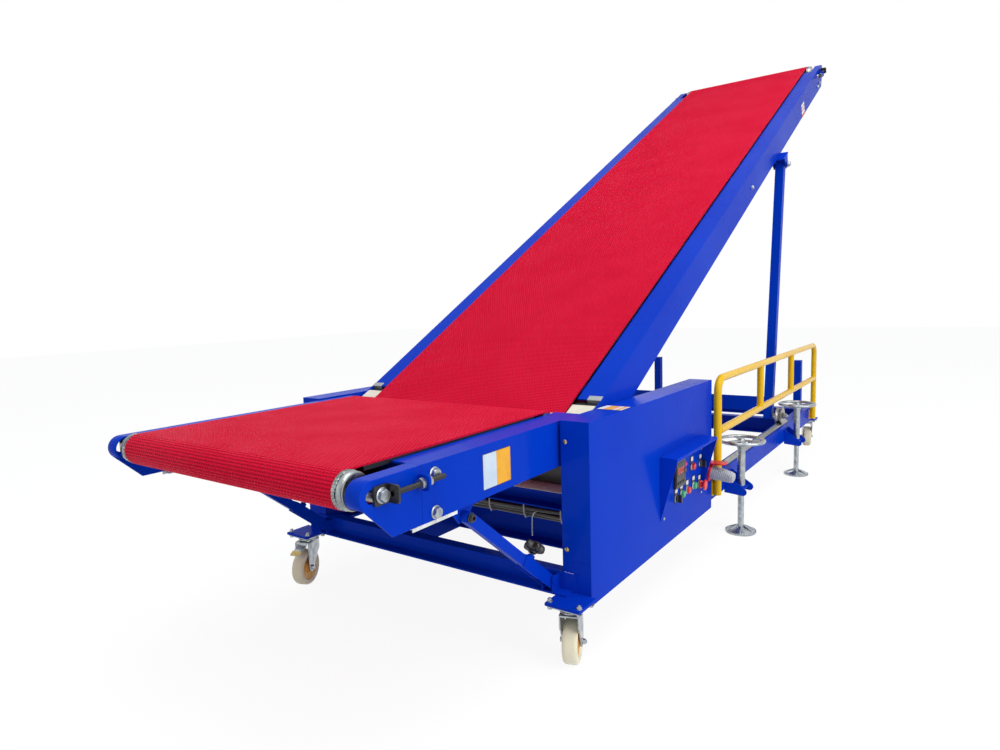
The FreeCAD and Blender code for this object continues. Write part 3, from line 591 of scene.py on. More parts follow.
def tensioner(name, body, drum, inward, node, outer, joint):
    """Bracket, rod, nuts and lug at both ends of one drum. `inward` points along the frame from the
    drum, `joint` is how far behind the drum the nose ends, and all lies on the nose's outer face."""
    way = np.array(inward)
    up = np.array((-way[2], 0.0, way[0])) * (1 if way[0] > 0 else -1)
    black, zinc, blue = [], [], []
    for side in (-1, 1):
        out = np.array((0.0, side, 0.0))
        base = np.array((drum.x, side * outer, drum.z))
        plate = base + out * bracket_gap + way * bracket_past_axis
        black.append(slab(bracket_plate, plate, way, up, -bracket_sheet * side))
        arm = base + way * arm_past_axis + out * rod_out
        black.append(slab(bracket_arm, arm, out, up, bracket_sheet * side))
        black.append(threaded(arm, base + out * rod_out + way * (joint + rod_past_joint), rod_radius))
        zinc += bolt(base + way * shaft_bolt_past_axis + out * shaft_bolt_out, out, shaft_bolt)
        lug = base + way * (joint - lug_before_joint) + out * rod_out
        before = lug_thick / 2 + rod_nut_gap + rod_nut_high
        zinc.append(hexagon(lug - way * before, way, rod_nut_across, rod_nut_high))
        zinc.append(hexagon(lug + way * (lug_thick / 2 + rod_nut_gap), way, rod_nut_across, rod_nut_high))
        blue.append(slab(lug_plate, lug - way * lug_thick / 2, out, up, lug_thick * side))
    piece_of(name + "_brackets", joined(black), black_oxide, body, (node,))
    piece_of(name + "_nuts", joined(zinc), bright_zinc, body)
    piece_of(name + "_lugs", joined(blue), blue_paint, body, edge=0.002)


deck_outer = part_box("infeed_frames")[1].y
boom_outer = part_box("boom_frames")[1].y
slope = (boom_head - boom_tail).normalized()
slope_up = Vector((-slope.z, 0.0, slope.x))
nose_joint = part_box("infeed_noses")[1].x
nose_behind = nose_joint - deck_tail.x
tensioner("tensioner_infeed", "infeed", deck_tail, (1.0, 0.0, 0.0), "infeed_tensioners", deck_outer,
          nose_behind)
tensioner("tensioner_boom", "boom", boom_head, tuple(-slope), "boom_tensioners", boom_outer, nose_behind)


def side_bolts(name, places, outer, size, body):
    """Bolts at the same (x, z) places on both sides, on faces that lie `outer` from the middle."""
    bolts = [shape for side in (-1, 1) for x, z in places
             for shape in bolt((x, side * outer, z), (0, side, 0), size)]
    piece_of(name, joined(bolts), bright_zinc, body)


nose_bolt, boom_bolt = 0.016, 0.012
nose_bolt_x = nose_joint + 0.045
nose_bolt_drops = (0.030, 0.124)
head_bolts = ((0.170, 0.004), (0.110, -0.062), (0.185, -0.070))
deck_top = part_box("infeed_frames")[1].z
side_bolts("nose_bolts_infeed", [(nose_bolt_x, deck_top - drop) for drop in nose_bolt_drops], deck_outer,
           nose_bolt, "infeed")
head_places = [boom_head - slope * back + slope_up * rise for back, rise in head_bolts]
side_bolts("nose_bolts_boom", [(at.x, at.z) for at in head_places], boom_outer, boom_bolt, "boom")

# ---- Slider beds and roller tracks
# The belts slide on sheet steel painted near black: painted shade for the dark slit along each belt's edge.
# Two bright steel angles are laid ridge up on the rails as the lift's track.
# Painted shade: the beds' near-black colour stands in for the shade in the slit between belt and frame.
bed_shade_colours = ((0.070, 0.076, 0.090), (0.050, 0.055, 0.066))
galvanised_colours = ((0.42, 0.44, 0.46), (0.33, 0.35, 0.37))
bed_painted_shade = finish("bed_painted_shade", bed_shade_colours, 14.0, (0.35, 0.55), 0.0002, 60.0, metal=0.8)
galvanised = finish("galvanised", galvanised_colours, 14.0, (0.35, 0.55), 0.0002, 60.0, metal=0.8)
dress(("infeed_bed", "boom_bed"), bed_painted_shade)
dress(("roller_tracks",), turned_steel, 0.001)

# ---- Castors
# Four swivel castors: cream nylon wheels with an orange hub in pressed, zinc plated forks. Each hangs
# by its top plate under a blue pad, and a toothed race shows bright between plate and fork.
nylon_colours = ((0.92, 0.88, 0.68), (0.84, 0.78, 0.56))
nylon_cream = finish("nylon_cream", nylon_colours, 9.0, (0.38, 0.55), 0.0003, 300.0)
hub_orange = finish("hub_orange", ((0.82, 0.46, 0.12), (0.74, 0.38, 0.08)), 20.0, (0.40, 0.55))
race_teeth = 22
race_radius = 0.034
race_step = 0.0012
axle_bolt = 0.010
crown_sheet = 0.005
tyre_half = 0.024
fork_sheet = 0.0042
fork_outer = 0.0307
crown_drop = 0.018
castor_places = ("front_near", "front_far", "rear_near", "rear_far")
pivots = {j["child"]: Vector(j["pos_m"]) for j in frame["joints"] if j.get("pos_m")}
straight_up = np.array((0.0, 0.0, 1.0))


def toothed_ring(at, radius, low, high, teeth):
    """A gear-like ring: its radius steps by 2.4 mm between tooth and gap, as a smoothed square wave."""
    angle = round_angles(teeth * 6)
    rim = radius + race_step * np.clip(3.0 * np.sin(angle * teeth), -1, 1)
    return capped([np.stack([at[0] + (rim - inset) * np.cos(angle), at[1] + (rim - inset) * np.sin(angle),
                             np.full(len(angle), z)], 1)
                   for z, inset in ((low, 0.003), (low + 0.001, 0.0), (high - 0.001, 0.0), (high, 0.003))])


def castor_lines(place):
    """The foot of a castor's swivel axis, its trail's direction and length, and the wheel's axle."""
    axis = pivots["castor_" + place]
    hub = middle("castor_wheel_" + place)
    trail = Vector((hub.x - axis.x, hub.y - axis.y, 0.0))
    way = np.array(trail.normalized())
    return np.array((axis.x, axis.y, 0.0)), way, np.array((-way[1], way[0], 0.0)), trail.length, hub


def castor(place):
    """One castor, with its fork drawn from the swivel axis along the trail to the wheel's axle."""
    base, way, across, reach, hub = castor_lines(place)
    low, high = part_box("castor_wheel_" + place)
    radius = (high.z - low.z) / 2
    rim = [(tyre_half - 0.007, radius - 0.022), (tyre_half - 0.001, radius - 0.017),
           (tyre_half, radius - 0.009), (tyre_half - 0.002, radius - 0.004),
           (tyre_half - 0.007, radius - 0.0008), (tyre_half - 0.013, radius)]
    tyre = rim + [(-a, r) for a, r in reversed(rim)]
    wheel = ring_of(tyre + [(-0.013, radius - 0.024), (0.013, radius - 0.024)], hub, across, 48)
    disc = [(0.0155, radius - 0.0215), (0.0165, radius - 0.024), (0.0125, 0.030), (0.0145, 0.021),
            (0.023, 0.019), (0.024, 0.0065), (0.010, 0.0065), (0.010, radius - 0.0215)]
    discs = [ring_of([(side * out, r) for out, r in disc], hub, across, 40) for side in (-1, 1)]
    shape = joined([wheel] + discs)
    which = [0] * len(wheel[1]) + [1] * (len(shape[1]) - len(wheel[1]))
    piece_of("castor_tyre_" + place, shape, nylon_cream, "wheel_" + place,
             ("castor_wheel_" + place,), smooth=35.0, skins=(hub_orange,), which=which)
    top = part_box("castor_fork_" + place)[1].z
    crown = top - crown_drop
    leg = [(-0.036, crown - 0.003), (-0.034, crown), (0.040, crown), (0.046, crown - 0.004),
           (reach + 0.021, hub.z + 0.020), (reach + 0.019, hub.z), (reach + 0.014, hub.z - 0.010),
           (reach + 0.005, hub.z - 0.016), (reach - 0.005, hub.z - 0.016), (reach - 0.014, hub.z - 0.010),
           (reach - 0.020, hub.z + 0.006), (-0.020, hub.z + 0.048), (-0.035, hub.z + 0.066)]
    steel = []
    for side in (-1, 1):
        inner_face = base + across * side * (fork_outer - fork_sheet)
        steel.append(slab(leg, inner_face, way, straight_up, -side * fork_sheet))
        steel += bolt(np.array(hub) + across * side * fork_outer, across * side, axle_bolt, side > 0)
    plate = [(-0.036, -fork_outer), (0.042, -fork_outer), (0.046, -0.024), (0.046, 0.024),
             (0.042, fork_outer), (-0.036, fork_outer)]
    steel.append(slab(plate, base + straight_up * (crown - crown_sheet), way, across, crown_sheet))
    steel.append(turned([(0.0, 0.031), (0.004, 0.035), (0.0075, 0.035)], base + straight_up * crown,
                        straight_up, 40))
    steel.append(toothed_ring(base, race_radius, crown + 0.008, top - 0.0005, race_teeth))
    piece_of("castor_fork_steel_" + place, joined(steel), bright_zinc, "castor_" + place,
             ("castor_fork_" + place,), edge=0.0012)


for place in castor_places:
    castor(place)
dress(("castor_top_plates",), bright_zinc, 0.0015)

pad_bolt = 0.009
pad_bolt_x, pad_bolt_y = 0.038, 0.050
pad_top, pad_under = 0.010, -0.006
pad_nuts = []
for place in castor_places:
    axis = pivots["castor_" + place]
    for side in (-1, 1):
        y = axis.y + side * pad_bolt_y
        pad_nuts += bolt((axis.x - pad_bolt_x, y, axis.z + pad_top), (0, 0, 1), pad_bolt, False)
        for x in (axis.x - pad_bolt_x, axis.x + pad_bolt_x):
            pad_nuts += bolt((x, y, axis.z + pad_under), (0, 0, -1), pad_bolt)
piece_of("castor_pad_nuts", joined(pad_nuts), bright_zinc, "chassis")

# The front castor on the far side has a brake: a pressed lever over the wheel with a worn brass pad.
brass = finish("brass", ((0.55, 0.42, 0.16), (0.44, 0.33, 0.12)), 60.0, (0.30, 0.45), metal=0.85)
brake_base, brake_way, brake_across = castor_lines("front_far")[:3]
lever_width, pad_width = 0.036, 0.040
lever = [(0.046, 0.166), (0.070, 0.158), (0.092, 0.150), (0.100, 0.142), (0.094, 0.138), (0.086, 0.146),
         (0.066, 0.152), (0.046, 0.160)]
piece_of("brake_lever", slab(lever, brake_base - brake_across * lever_width / 2, brake_way, straight_up,
                             -lever_width), bright_zinc, "castor_front_far", edge=0.001)
brake_pad = [(0.080, 0.152), (0.101, 0.143), (0.102, 0.146), (0.082, 0.156)]
piece_of("brake_pad", slab(brake_pad, brake_base - brake_across * pad_width / 2, brake_way, straight_up,
                           -pad_width), brass, "castor_front_far", edge=0.001)

# ---- Deck props
# The infeed deck's two telescopic props: a flat bar in a channel sleeve that is open below. A black
# star knob on a stud clamps the bar, and a black socket screw pins its round end to the deck's lug.
prop_tilt = pivots["props_upper"] - pivots["props_lower"]
prop_along = np.array((prop_tilt.x, 0.0, prop_tilt.z)) / math.hypot(prop_tilt.x, prop_tilt.z)
prop_up = np.array((-prop_along[2], 0.0, prop_along[0]))
if prop_up[2] < 0:
    prop_up = -prop_up
prop_middle = 0.524
knob_along = 0.150
sleeve_long = 0.190
sleeve_half = 0.020
sleeve_sheet = 0.0032
sleeve_inside = 0.0103
sleeve_seat = 0.0198
boss_high = 0.010
web_level = 0.0168
neck_level, knob_level, stud_top = 0.015, 0.022, 0.024
knob_high = 0.0285
knob_radius, knob_lobe = 0.0275, 0.0065
pin_out, pin_sheet = 0.0140, 0.002
knob_colours = ((0.010, 0.010, 0.011), (0.018, 0.018, 0.020))
knob_black = finish("knob_black", knob_colours, 40.0, (0.28, 0.42), 0.0002, 300.0)


def star_knob(at, way):
    """A five-lobed knob: its radius swells five times round, and its rim is rounded top and bottom."""
    way, side, up = frame_along(way)
    angle = round_angles(60)
    lobes = knob_radius + knob_lobe * np.cos(5 * angle)
    profile = [(0.0, 0.62), (0.003, 0.88), (0.008, 1.0), (0.018, 1.0), (0.0245, 0.92), (0.0280, 0.72),
               (knob_high, 0.30)]
    return capped([np.array(at) + height * way + (lobes * share)[:, None] * spokes(angle, side, up)
                   for height, share in profile])


foot_turn = np.linspace(0.5, 1.5, 13) * math.pi
cheek = [(sleeve_half * math.cos(a), sleeve_half * math.sin(a)) for a in foot_turn]
cheek += [(sleeve_long, -sleeve_half), (sleeve_long, sleeve_half)]
web = [(0.0, -0.0135), (sleeve_long, -0.0135), (sleeve_long, 0.0135), (0.0, 0.0135)]
foot_pin = [(-0.0225, 0.0070), (-0.0225, 0.0078), (0.0225, 0.0078), (0.0235, 0.0066)]
boss = [(0.0, 0.012), (0.009, 0.012), (0.011, 0.010)]
knob_neck = [(0.0, 0.009), (0.004, 0.0135), (0.010, 0.0140)]
knob_cap = [(0.0, 0.0090), (0.0012, 0.0088), (0.0014, 0.0080)]
pin_disc = [(0.0, 0.0135), (0.002, 0.0135), (0.003, 0.0125)]
pin_ring = [(0.0, 0.0055), (0.0, 0.0105), (0.006, 0.0105), (0.008, 0.0090), (0.008, 0.0055)]
knobs, studs, bosses, knob_caps, sleeves, foot_pins, pin_discs, pin_rings = [], [], [], [], [], [], [], []
for side in (-1, 1):
    foot = np.array(pivots["props_lower"]) * (1, 0, 1) + np.array((0.0, side * prop_middle, 0.0))
    for face in (-1, 1):
        sleeves.append(slab(cheek, foot + np.array((0, face * sleeve_inside, 0)), prop_along, prop_up,
                            face * sleeve_sheet))
    sleeves.append(slab(web, foot + prop_up * web_level, prop_along, (0, 1, 0), -sleeve_sheet))
    foot_pins.append(turned(foot_pin, foot, (0, 1, 0), 24))
    seat = foot + prop_along * knob_along + prop_up * sleeve_seat
    bosses.append(turned(boss, seat, prop_up, 24))
    studs.append(threaded(seat + prop_up * boss_high, seat + prop_up * stud_top, rod_radius))
    knobs.append(turned(knob_neck, seat + prop_up * neck_level, prop_up, 20))
    knobs.append(star_knob(seat + prop_up * knob_level, prop_up))
    knob_caps.append(turned(knob_cap, seat + prop_up * (knob_level + knob_high), prop_up, 20))
    pin = np.array(pivots["props_upper"]) * (1, 0, 1) + np.array((0.0, side * (prop_middle + pin_out), 0.0))
    pin_discs.append(turned(pin_disc, pin, (0, side, 0), 24))
    pin_rings.append(ring_of(pin_ring, pin + np.array((0, side * pin_sheet, 0)), (0, side, 0), 24))
piece_of("prop_sleeve_channels", joined(sleeves), blue_paint, "props_lower", ("prop_sleeves",),
         edge=0.0012)
piece_of("prop_foot_pins", joined(foot_pins), blue_paint, "props_lower")
piece_of("prop_knobs", joined(knobs), knob_black, "props_lower")
piece_of("prop_studs", joined(studs), bright_zinc, "props_lower")
piece_of("prop_bosses", joined(bosses), blue_paint, "props_lower")
piece_of("prop_pin_caps", joined(pin_discs + pin_rings), black_oxide, "props_upper")
piece_of("prop_knob_caps", joined(knob_caps), turned_steel, "props_lower")

# ---- Signs, cover screws and labels
# Three blank plates with a thin printed border: pale blue and amber on the deck's side, white and amber
# on the cover's top, red and white on the boom. Small brass screws hold the cover's front to the frame.
front_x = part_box("side_covers")[0].x
cover_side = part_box("side_covers")[1].y
cover_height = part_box("side_covers")[1].z
plate_pale = finish("plate_pale", ((0.62, 0.72, 0.84), (0.55, 0.66, 0.80)), 30.0, (0.35, 0.45))
plate_amber = finish("plate_amber", ((0.88, 0.42, 0.01), (0.80, 0.36, 0.01)), 30.0, (0.35, 0.45))
plate_white = finish("plate_white", ((0.82, 0.82, 0.80), (0.74, 0.75, 0.74)), 30.0, (0.35, 0.45))
plate_line = finish("plate_line", ((0.05, 0.05, 0.07), (0.08, 0.08, 0.10)), 30.0, (0.40, 0.50))
plate_red = finish("plate_red", ((0.70, 0.02, 0.02), (0.60, 0.02, 0.02)), 30.0, (0.40, 0.50))
plate_sheet = 0.0008
plate_border = 0.0015
plate_corner = 0.003
field_gap = 0.0004
ink_sheet = 0.0003


def sign(name, at, along, across, width, height, fields, body):
    """A thin plate with a dark edge line and upright coloured fields, each given as its share of the
    width and its skin."""
    at, along, across = (np.array(v, float) for v in (at, along, across))
    front = at + np.cross(along, across) * plate_sheet
    shapes = [slab(rounded(width, height, plate_corner), at, along, across, plate_sheet)]
    left = -width / 2 + plate_border
    for share, _ in fields:
        w = (width - 2 * plate_border) * share
        shapes.append(slab(rounded(w - field_gap, height - 2 * plate_border, plate_border),
                           front + along * (left + w / 2), along, across, ink_sheet))
        left += w
    which = [k for k, shape in enumerate(shapes) for _ in shape[1]]
    inks = [skin for _, skin in fields]
    piece_of(name, joined(shapes), plate_line, body, skins=inks, which=which)


def on_boom(along, rise):
    """A place beside the boom: so far along its slope from the tail drum, and so far above that line."""
    return boom_tail + slope * along + slope_up * rise


deck_sign_at = (front_x - 0.3205, -deck_outer, deck_top - 0.073)
sign("deck_sign", deck_sign_at, (1, 0, 0), (0, 0, 1), 0.128, 0.096,
     ((0.48, plate_pale), (0.52, plate_amber)), "infeed")
cover_label_at = (front_x + 0.274, -cover_side + 0.050, cover_height)
sign("cover_label", cover_label_at, (0, -1, 0), (1, 0, 0), 0.090, 0.078,
     ((0.24, plate_white), (0.40, plate_amber), (0.12, plate_white), (0.16, plate_amber),
      (0.08, plate_white)), "chassis")
boom_label_at = on_boom(3.640, -0.064) * Vector((1, 0, 1)) - Vector((0, boom_outer, 0))
sign("boom_label", boom_label_at, slope_up, -slope, 0.085, 0.100,
     ((0.20, plate_red), (0.24, plate_white), (0.08, plate_red), (0.18, plate_white),
      (0.08, plate_red), (0.22, plate_white)), "boom")

screw_inset = 0.083
screw_levels = (0.684, 0.344)
screw = [(0.0, 0.0075), (0.0012, 0.0075), (0.0030, 0.0055), (0.0036, 0.0030)]
cover_screws = [turned(screw, (front_x, side * (cover_side - screw_inset), z), (-1, 0, 0), 20)
                for z in screw_levels for side in (-1, 1)]
piece_of("cover_screws", joined(cover_screws), brass, "chassis")
boom_bolt_at = on_boom(2.190, -0.045)
side_bolts("boom_side_bolt", [(boom_bolt_at.x, boom_bolt_at.z)], boom_outer, boom_bolt, "boom")

# ---- Control panel
# Under the hood: a dark display with three red digits, a signal lamp, and two rows of switches and
# buttons, each under its blank tag. The red mushroom button stops the belts.
panel_black = finish("panel_black", ((0.014, 0.014, 0.016), (0.022, 0.022, 0.025)), 60.0, (0.25, 0.40))
button_red = finish("button_red", ((0.80, 0.010, 0.012), (0.68, 0.008, 0.010)), 40.0, (0.18, 0.30))
button_green = finish("button_green", ((0.010, 0.42, 0.16), (0.008, 0.34, 0.12)), 40.0, (0.18, 0.30))
lamp_magenta = finish("lamp_magenta", ((0.75, 0.03, 0.30), (0.65, 0.02, 0.25)), 40.0, (0.15, 0.25))
digit_red = finish("digit_red", ((0.90, 0.02, 0.01), (0.80, 0.02, 0.01)), 80.0, (0.30, 0.40))
digit_glow = 0.6
shader_of(digit_red).inputs["Emission Color"].default_value = (1.0, 0.03, 0.01, 1.0)
shader_of(digit_red).inputs["Emission Strength"].default_value = digit_glow
panel_skins = (bright_zinc, button_red, button_green, lamp_magenta, digit_red, plate_white)
black, bright, red, green, magenta, lit, white = range(7)
hood_low, hood_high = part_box("control_hood")
outwards = (0, -1, 0)
holder = rounded(0.034, 0.058, 0.005)
holder_sheet = 0.0022
holder_rise = 0.012
label = rounded(0.024, 0.017, 0.0055)
label_rise = 0.030
bright_ring = [(0.0, 0.0170), (0.004, 0.0170), (0.007, 0.0150), (0.007, 0.0120)]
dome = [(0.005, 0.0145), (0.013, 0.0142), (0.0160, 0.0120), (0.0172, 0.005)]
rotary = [(0.005, 0.0160), (0.011, 0.0155), (0.0125, 0.0135)]
rotary_grip = rounded(0.010, 0.031, 0.004)
grip_out, grip_high = 0.011, 0.015
digit_high = 0.022
stroke_sheet = 0.0004
window_out = 0.0118
display_box, display_frame = 0.010, 0.002
mushroom = [(0.004, 0.0165), (0.009, 0.0185), (0.013, 0.0165), (0.013, 0.0110), (0.022, 0.0110),
            (0.0235, 0.0205), (0.026, 0.0225), (0.030, 0.0218), (0.0318, 0.0180), (0.0320, 0.0100)]


def on_panel(along, down, out=0.0):
    """A place on the panel, measured from the hood's left top corner."""
    return np.array((hood_low.x + along, -cover_side - out, hood_high.z - down))


def upright(outline, at, thick):
    """A plate whose outline is given in (x, z), thickened towards the control side."""
    return slab(outline, at, (1, 0, 0), (0, 0, 1), thick)


def button(along, down, cap, kind):
    """A switch in its dark legend holder with a blank white label above: a bright ring, and a cap that
    is domed, or a rotary grip, or a mushroom with a collar."""
    at = on_panel(along, down)
    parts = [(black, upright(holder, on_panel(along, down - holder_rise), holder_sheet)),
             (bright, turned(bright_ring, at, outwards))]
    if kind == "dome":
        parts.append((cap, turned(dome, at, outwards, 28)))
    elif kind == "rotary":
        parts.append((black, turned(rotary, at, outwards, 28)))
        parts.append((black, upright(rotary_grip, at - np.array((0, grip_out, 0)), grip_high)))
    else:
        parts.append((cap, turned(mushroom, at, outwards, 36)))
    parts.append((white, upright(label, on_panel(along, down - label_rise, holder_sheet), plate_sheet)))
    return parts


def digit(along, down, strokes):
    """A seven-stroke digit from the names of its lit strokes, half as wide as it is high."""
    height = digit_high
    width, line = height * 0.5, height * 0.13
    places = {"top": (0, height / 2, 1), "middle": (0, 0, 1), "foot": (0, -height / 2, 1),
              "upper_left": (-width / 2, height / 4, 0), "upper_right": (width / 2, height / 4, 0),
              "lower_left": (-width / 2, -height / 4, 0), "lower_right": (width / 2, -height / 4, 0)}
    shapes = []
    for stroke in strokes:
        x, z, flat = places[stroke]
        size = (width * 0.8, line) if flat else (line, height * 0.42)
        at = on_panel(along + x, down - z, window_out + plate_sheet)
        shapes.append((lit, upright(rounded(*size, line * 0.4, 3), at, stroke_sheet)))
    return shapes


display_at = (0.187, 0.105)
window_at = (0.187, 0.090)
signal_at = (0.252, 0.080)
zero = ("top", "foot", "upper_left", "upper_right", "lower_left", "lower_right")
corner_screw = [(0.0, 0.006), (0.0015, 0.006), (0.003, 0.004)]
key = [(0.0, 0.006), (0.002, 0.006), (0.003, 0.005)]
digit_places = (0.163, 0.185, 0.207)
key_places = (0.160, 0.178, 0.196, 0.214)
corner_places = ((0.459, 0.062), (0.454, 0.246), (0.037, 0.244), (0.037, 0.060))
switch_places = ((0.336, 0.108, red, "dome"), (0.438, 0.118, black, "rotary"), (0.158, 0.197, black, "rotary"),
                 (0.215, 0.193, green, "dome"), (0.279, 0.193, red, "dome"), (0.353, 0.192, green, "dome"),
                 (0.425, 0.205, red, "mushroom"))
box_face = rounded(0.108, 0.104, 0.005)
frame_face = rounded(0.094, 0.088, 0.003)
window_face = rounded(0.078, 0.036, 0.002)
controls = [(black, upright(box_face, on_panel(*display_at), display_box)),
            (black, upright(frame_face, on_panel(*display_at, display_box), display_frame)),
            (black, upright(window_face, on_panel(*window_at, window_out), plate_sheet))]
for along in digit_places:
    controls += digit(along, window_at[1], zero)
for along in key_places:
    controls.append((black, turned(key, on_panel(along, 0.138, 0.012), outwards, 16)))
controls += [(black, turned([(0.0, 0.0120), (0.010, 0.0115), (0.012, 0.0095)], on_panel(0.226, 0.098, 0.004),
                            outwards, 24)),
             (bright, turned([(0.0, 0.0105), (0.004, 0.0105)], on_panel(*signal_at), outwards, 24)),
             (magenta, turned([(0.003, 0.0090), (0.008, 0.0088), (0.011, 0.0060), (0.012, 0.002)],
                              on_panel(*signal_at), outwards, 24))]
for along, down, cap, kind in switch_places:
    controls += button(along, down, cap, kind)
for along, down in corner_places:
    controls.append((bright, turned(corner_screw, on_panel(along, down), outwards, 18)))
which = [skin for skin, shape in controls for _ in shape[1]]
piece_of("control_set", joined([shape for _, shape in controls]), panel_black, "chassis",
         ("control_switches",), smooth=38.0, skins=panel_skins, which=which)

# ---- Power inlet and plug
# A red flange with a sprung red lid stands on the cover, and a grey plug with a ribbed grip is pushed
# into it. The grip's ribs run round the barrel, 8 mm apart.
inlet_colours = ((0.72, 0.015, 0.030), (0.62, 0.010, 0.022))
inlet_red = finish("inlet_red", inlet_colours, 30.0, (0.30, 0.42), 0.0002, 200.0)
plug_grey = finish("plug_grey", ((0.50, 0.52, 0.54), (0.42, 0.44, 0.46)), 40.0, (0.42, 0.58), 0.0003, 400.0)
socket_low, socket_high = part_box("power_socket")
socket = np.array(((socket_low.x + socket_high.x) / 2, -cover_side, socket_high.z - 0.042))
plug_way = np.array((0.0, -1.0, -0.16))
plug_way /= np.linalg.norm(plug_way)
flange = rounded(0.060, 0.078, 0.008)
flange_sheet = 0.009
mouth = [(0.006, 0.0330), (0.014, 0.0330), (0.016, 0.0315)]
lid_out = 0.041
lid_sheets = ((rounded(0.058, 0.074, 0.018), 0.0390, 0.005), (rounded(0.048, 0.064, 0.014), 0.0365, 0.003))
hinge_long = 0.044
hinge = [(0.0, 0.0045), (hinge_long, 0.0045)]
inlet = [upright(flange, socket, flange_sheet), turned(mouth, socket, plug_way, 40)]
for outline, height, sheet in lid_sheets:
    inlet.append(slab(outline, socket + np.array((0.0, -lid_out, height)), (1, 0, 0), (0, 1, 0), sheet))
inlet.append(turned(hinge, socket + np.array((-hinge_long / 2, -0.008, 0.0400)), (1, 0, 0), 16))
piece_of("power_inlet", joined(inlet), inlet_red, "chassis", ("power_socket",), edge=0.001)
grip_start, grip_pitch, grip_radius, grip_taper = 0.0235, 0.0078, 0.0300, 0.00055
barrel = [(0.012, 0.0285), (0.016, grip_radius), (0.022, grip_radius)]
for k in range(10):
    start, high = grip_start + k * grip_pitch, grip_radius - k * grip_taper
    barrel += [(start, high - 0.0042), (start + 0.0018, high - 0.0004), (start + 0.0034, high),
               (start + 0.0052, high - 0.0004), (start + 0.0070, high - 0.0042)]
barrel += [(0.1025, 0.0200), (0.105, 0.0225), (0.109, 0.0200), (0.1125, 0.0120), (0.1125, 0.0070)]
piece_of("power_plug", turned(barrel, socket, plug_way, 40), plug_grey, "chassis", smooth=50.0)

# ---- Boom lift
# The struts' feet run on grooved steel rollers. Each roller's axle ends in a washer and nut, and the
# strut's upper pin is held by a nut on the outside of each bracket.
dress(("track_roller_near", "track_roller_far"), turned_steel, 0.001)
axle_nut, strut_bolt = 0.016, 0.018
axle_end = abs(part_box("roller_axles")[0].y)
lift_nuts = []
for side, node in ((-1, "track_roller_near"), (1, "track_roller_far")):
    hub = middle(node)
    lift_nuts += bolt((hub.x, side * axle_end, hub.z), (0, side, 0), axle_nut, False)
piece_of("roller_axle_nuts", joined(lift_nuts), bright_zinc, "carriage")
strut_pin = pivots["struts"]
side_bolts("strut_pin_nuts", [(strut_pin.x, strut_pin.z)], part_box("strut_brackets")[1].y, strut_bolt,
           "boom")

# ---- Screw jacks
# Four levelling jacks: a zinc tube in the bracket's cheeks with a bright handwheel on top, and a leg
# with a round foot whose cone is stiffened by ribs.
jack_names = ["%s_%s" % (end, side) for end in ("front", "rear") for side in ("near", "far")]
dress(["jack_leg_" + name for name in jack_names], bright_zinc, 0.0008)
rim_radius, rim_bar = 0.0995, 0.0080
bracket_half = 0.054
cheek_sheet = 0.005
bracket_reach = 0.738
bracket_level = 0.216
foot_top = 0.010
upwards = (0, 0, 1)


def torus(at, radius, bar):
    """A ring of round bar lying flat: radius + bar cos(v) out from the centre, bar sin(v) up."""
    u = round_angles(56)
    v = round_angles(12)
    out = radius + bar * np.cos(v)[None, :]
    points = np.stack([at[0] + out * np.cos(u)[:, None], at[1] + out * np.sin(u)[:, None],
                       np.broadcast_to(at[2] + bar * np.sin(v), (len(u), len(v)))], 2)
    return points.reshape(-1, 3), grid_faces(len(u), len(v), True, True)


def level_ray(degrees):
    """The level unit vector at an angle, and the one square to it."""
    a = math.radians(degrees)
    way = np.array((math.cos(a), math.sin(a), 0.0))
    return way, np.array((-way[1], way[0], 0.0))


outer_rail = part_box("chassis_rails")[1].y
leaf = [(outer_rail, 0.286), (outer_rail, 0.197), (bracket_reach, 0.190), (0.747, 0.194), (0.753, 0.203),
        (0.753, 0.213), (0.748, 0.221)]
shelf = [(-bracket_half, outer_rail), (bracket_half, outer_rail), (bracket_half, bracket_reach),
         (-bracket_half, bracket_reach)]
collar = [(0.0, 0.0150), (0.0, 0.0240), (0.004, 0.0240), (0.004, 0.0150)]
leg_out = middle("jack_leg_front_far").y
brackets = []
for side in (-1, 1):
    for end in ("front", "rear"):
        at_x = middle("jack_leg_%s_near" % end).x
        for face in (-1, 1):
            brackets.append(slab(leaf, (at_x + face * bracket_half, 0, 0), (0, side, 0), upwards,
                                 face * side * cheek_sheet))
        brackets.append(slab(shelf, (at_x, 0, bracket_level), (1, 0, 0), (0, side, 0), cheek_sheet * side))
        brackets.append(ring_of(collar, (at_x, side * leg_out, bracket_level + cheek_sheet), upwards, 28))
piece_of("jack_bracket_plates", joined(brackets), blue_paint, "chassis", ("jack_brackets",),
         edge=0.001)

sleeve_low, sleeve_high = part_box("jack_handwheels")
sleeve = [(0.0, 0.0180), (0.190, 0.0180), (0.192, 0.0215), (0.204, 0.0215), (0.206, 0.0190), (0.2105, 0.0190)]
hub_profile = [(0.0, 0.016), (0.004, 0.021), (0.016, 0.021), (0.020, 0.015), (0.026, 0.014)]
spoke_bar = [(0.016, -0.003), (0.093, -0.0022), (0.093, 0.0022), (0.016, 0.003)]
spoke_link = [(-0.002, -0.008), (0.002, -0.008), (0.002, 0.008), (-0.002, 0.008)]
spoke_sheet = 0.006
spoke_angles = (30, 150, 270)
spoke_shift = 0.0065
link_places = (0.045, 0.072)
hub_drop = 0.016
cone = [(0.0, 0.066), (0.003, 0.061), (0.012, 0.030), (0.018, 0.0165)]
fin = [(0.015, 0.0), (0.064, 0.0), (0.060, 0.005), (0.024, 0.022), (0.015, 0.024)]
fin_sheet = 0.004
fin_angles = range(15, 360, 60)
wheels = []
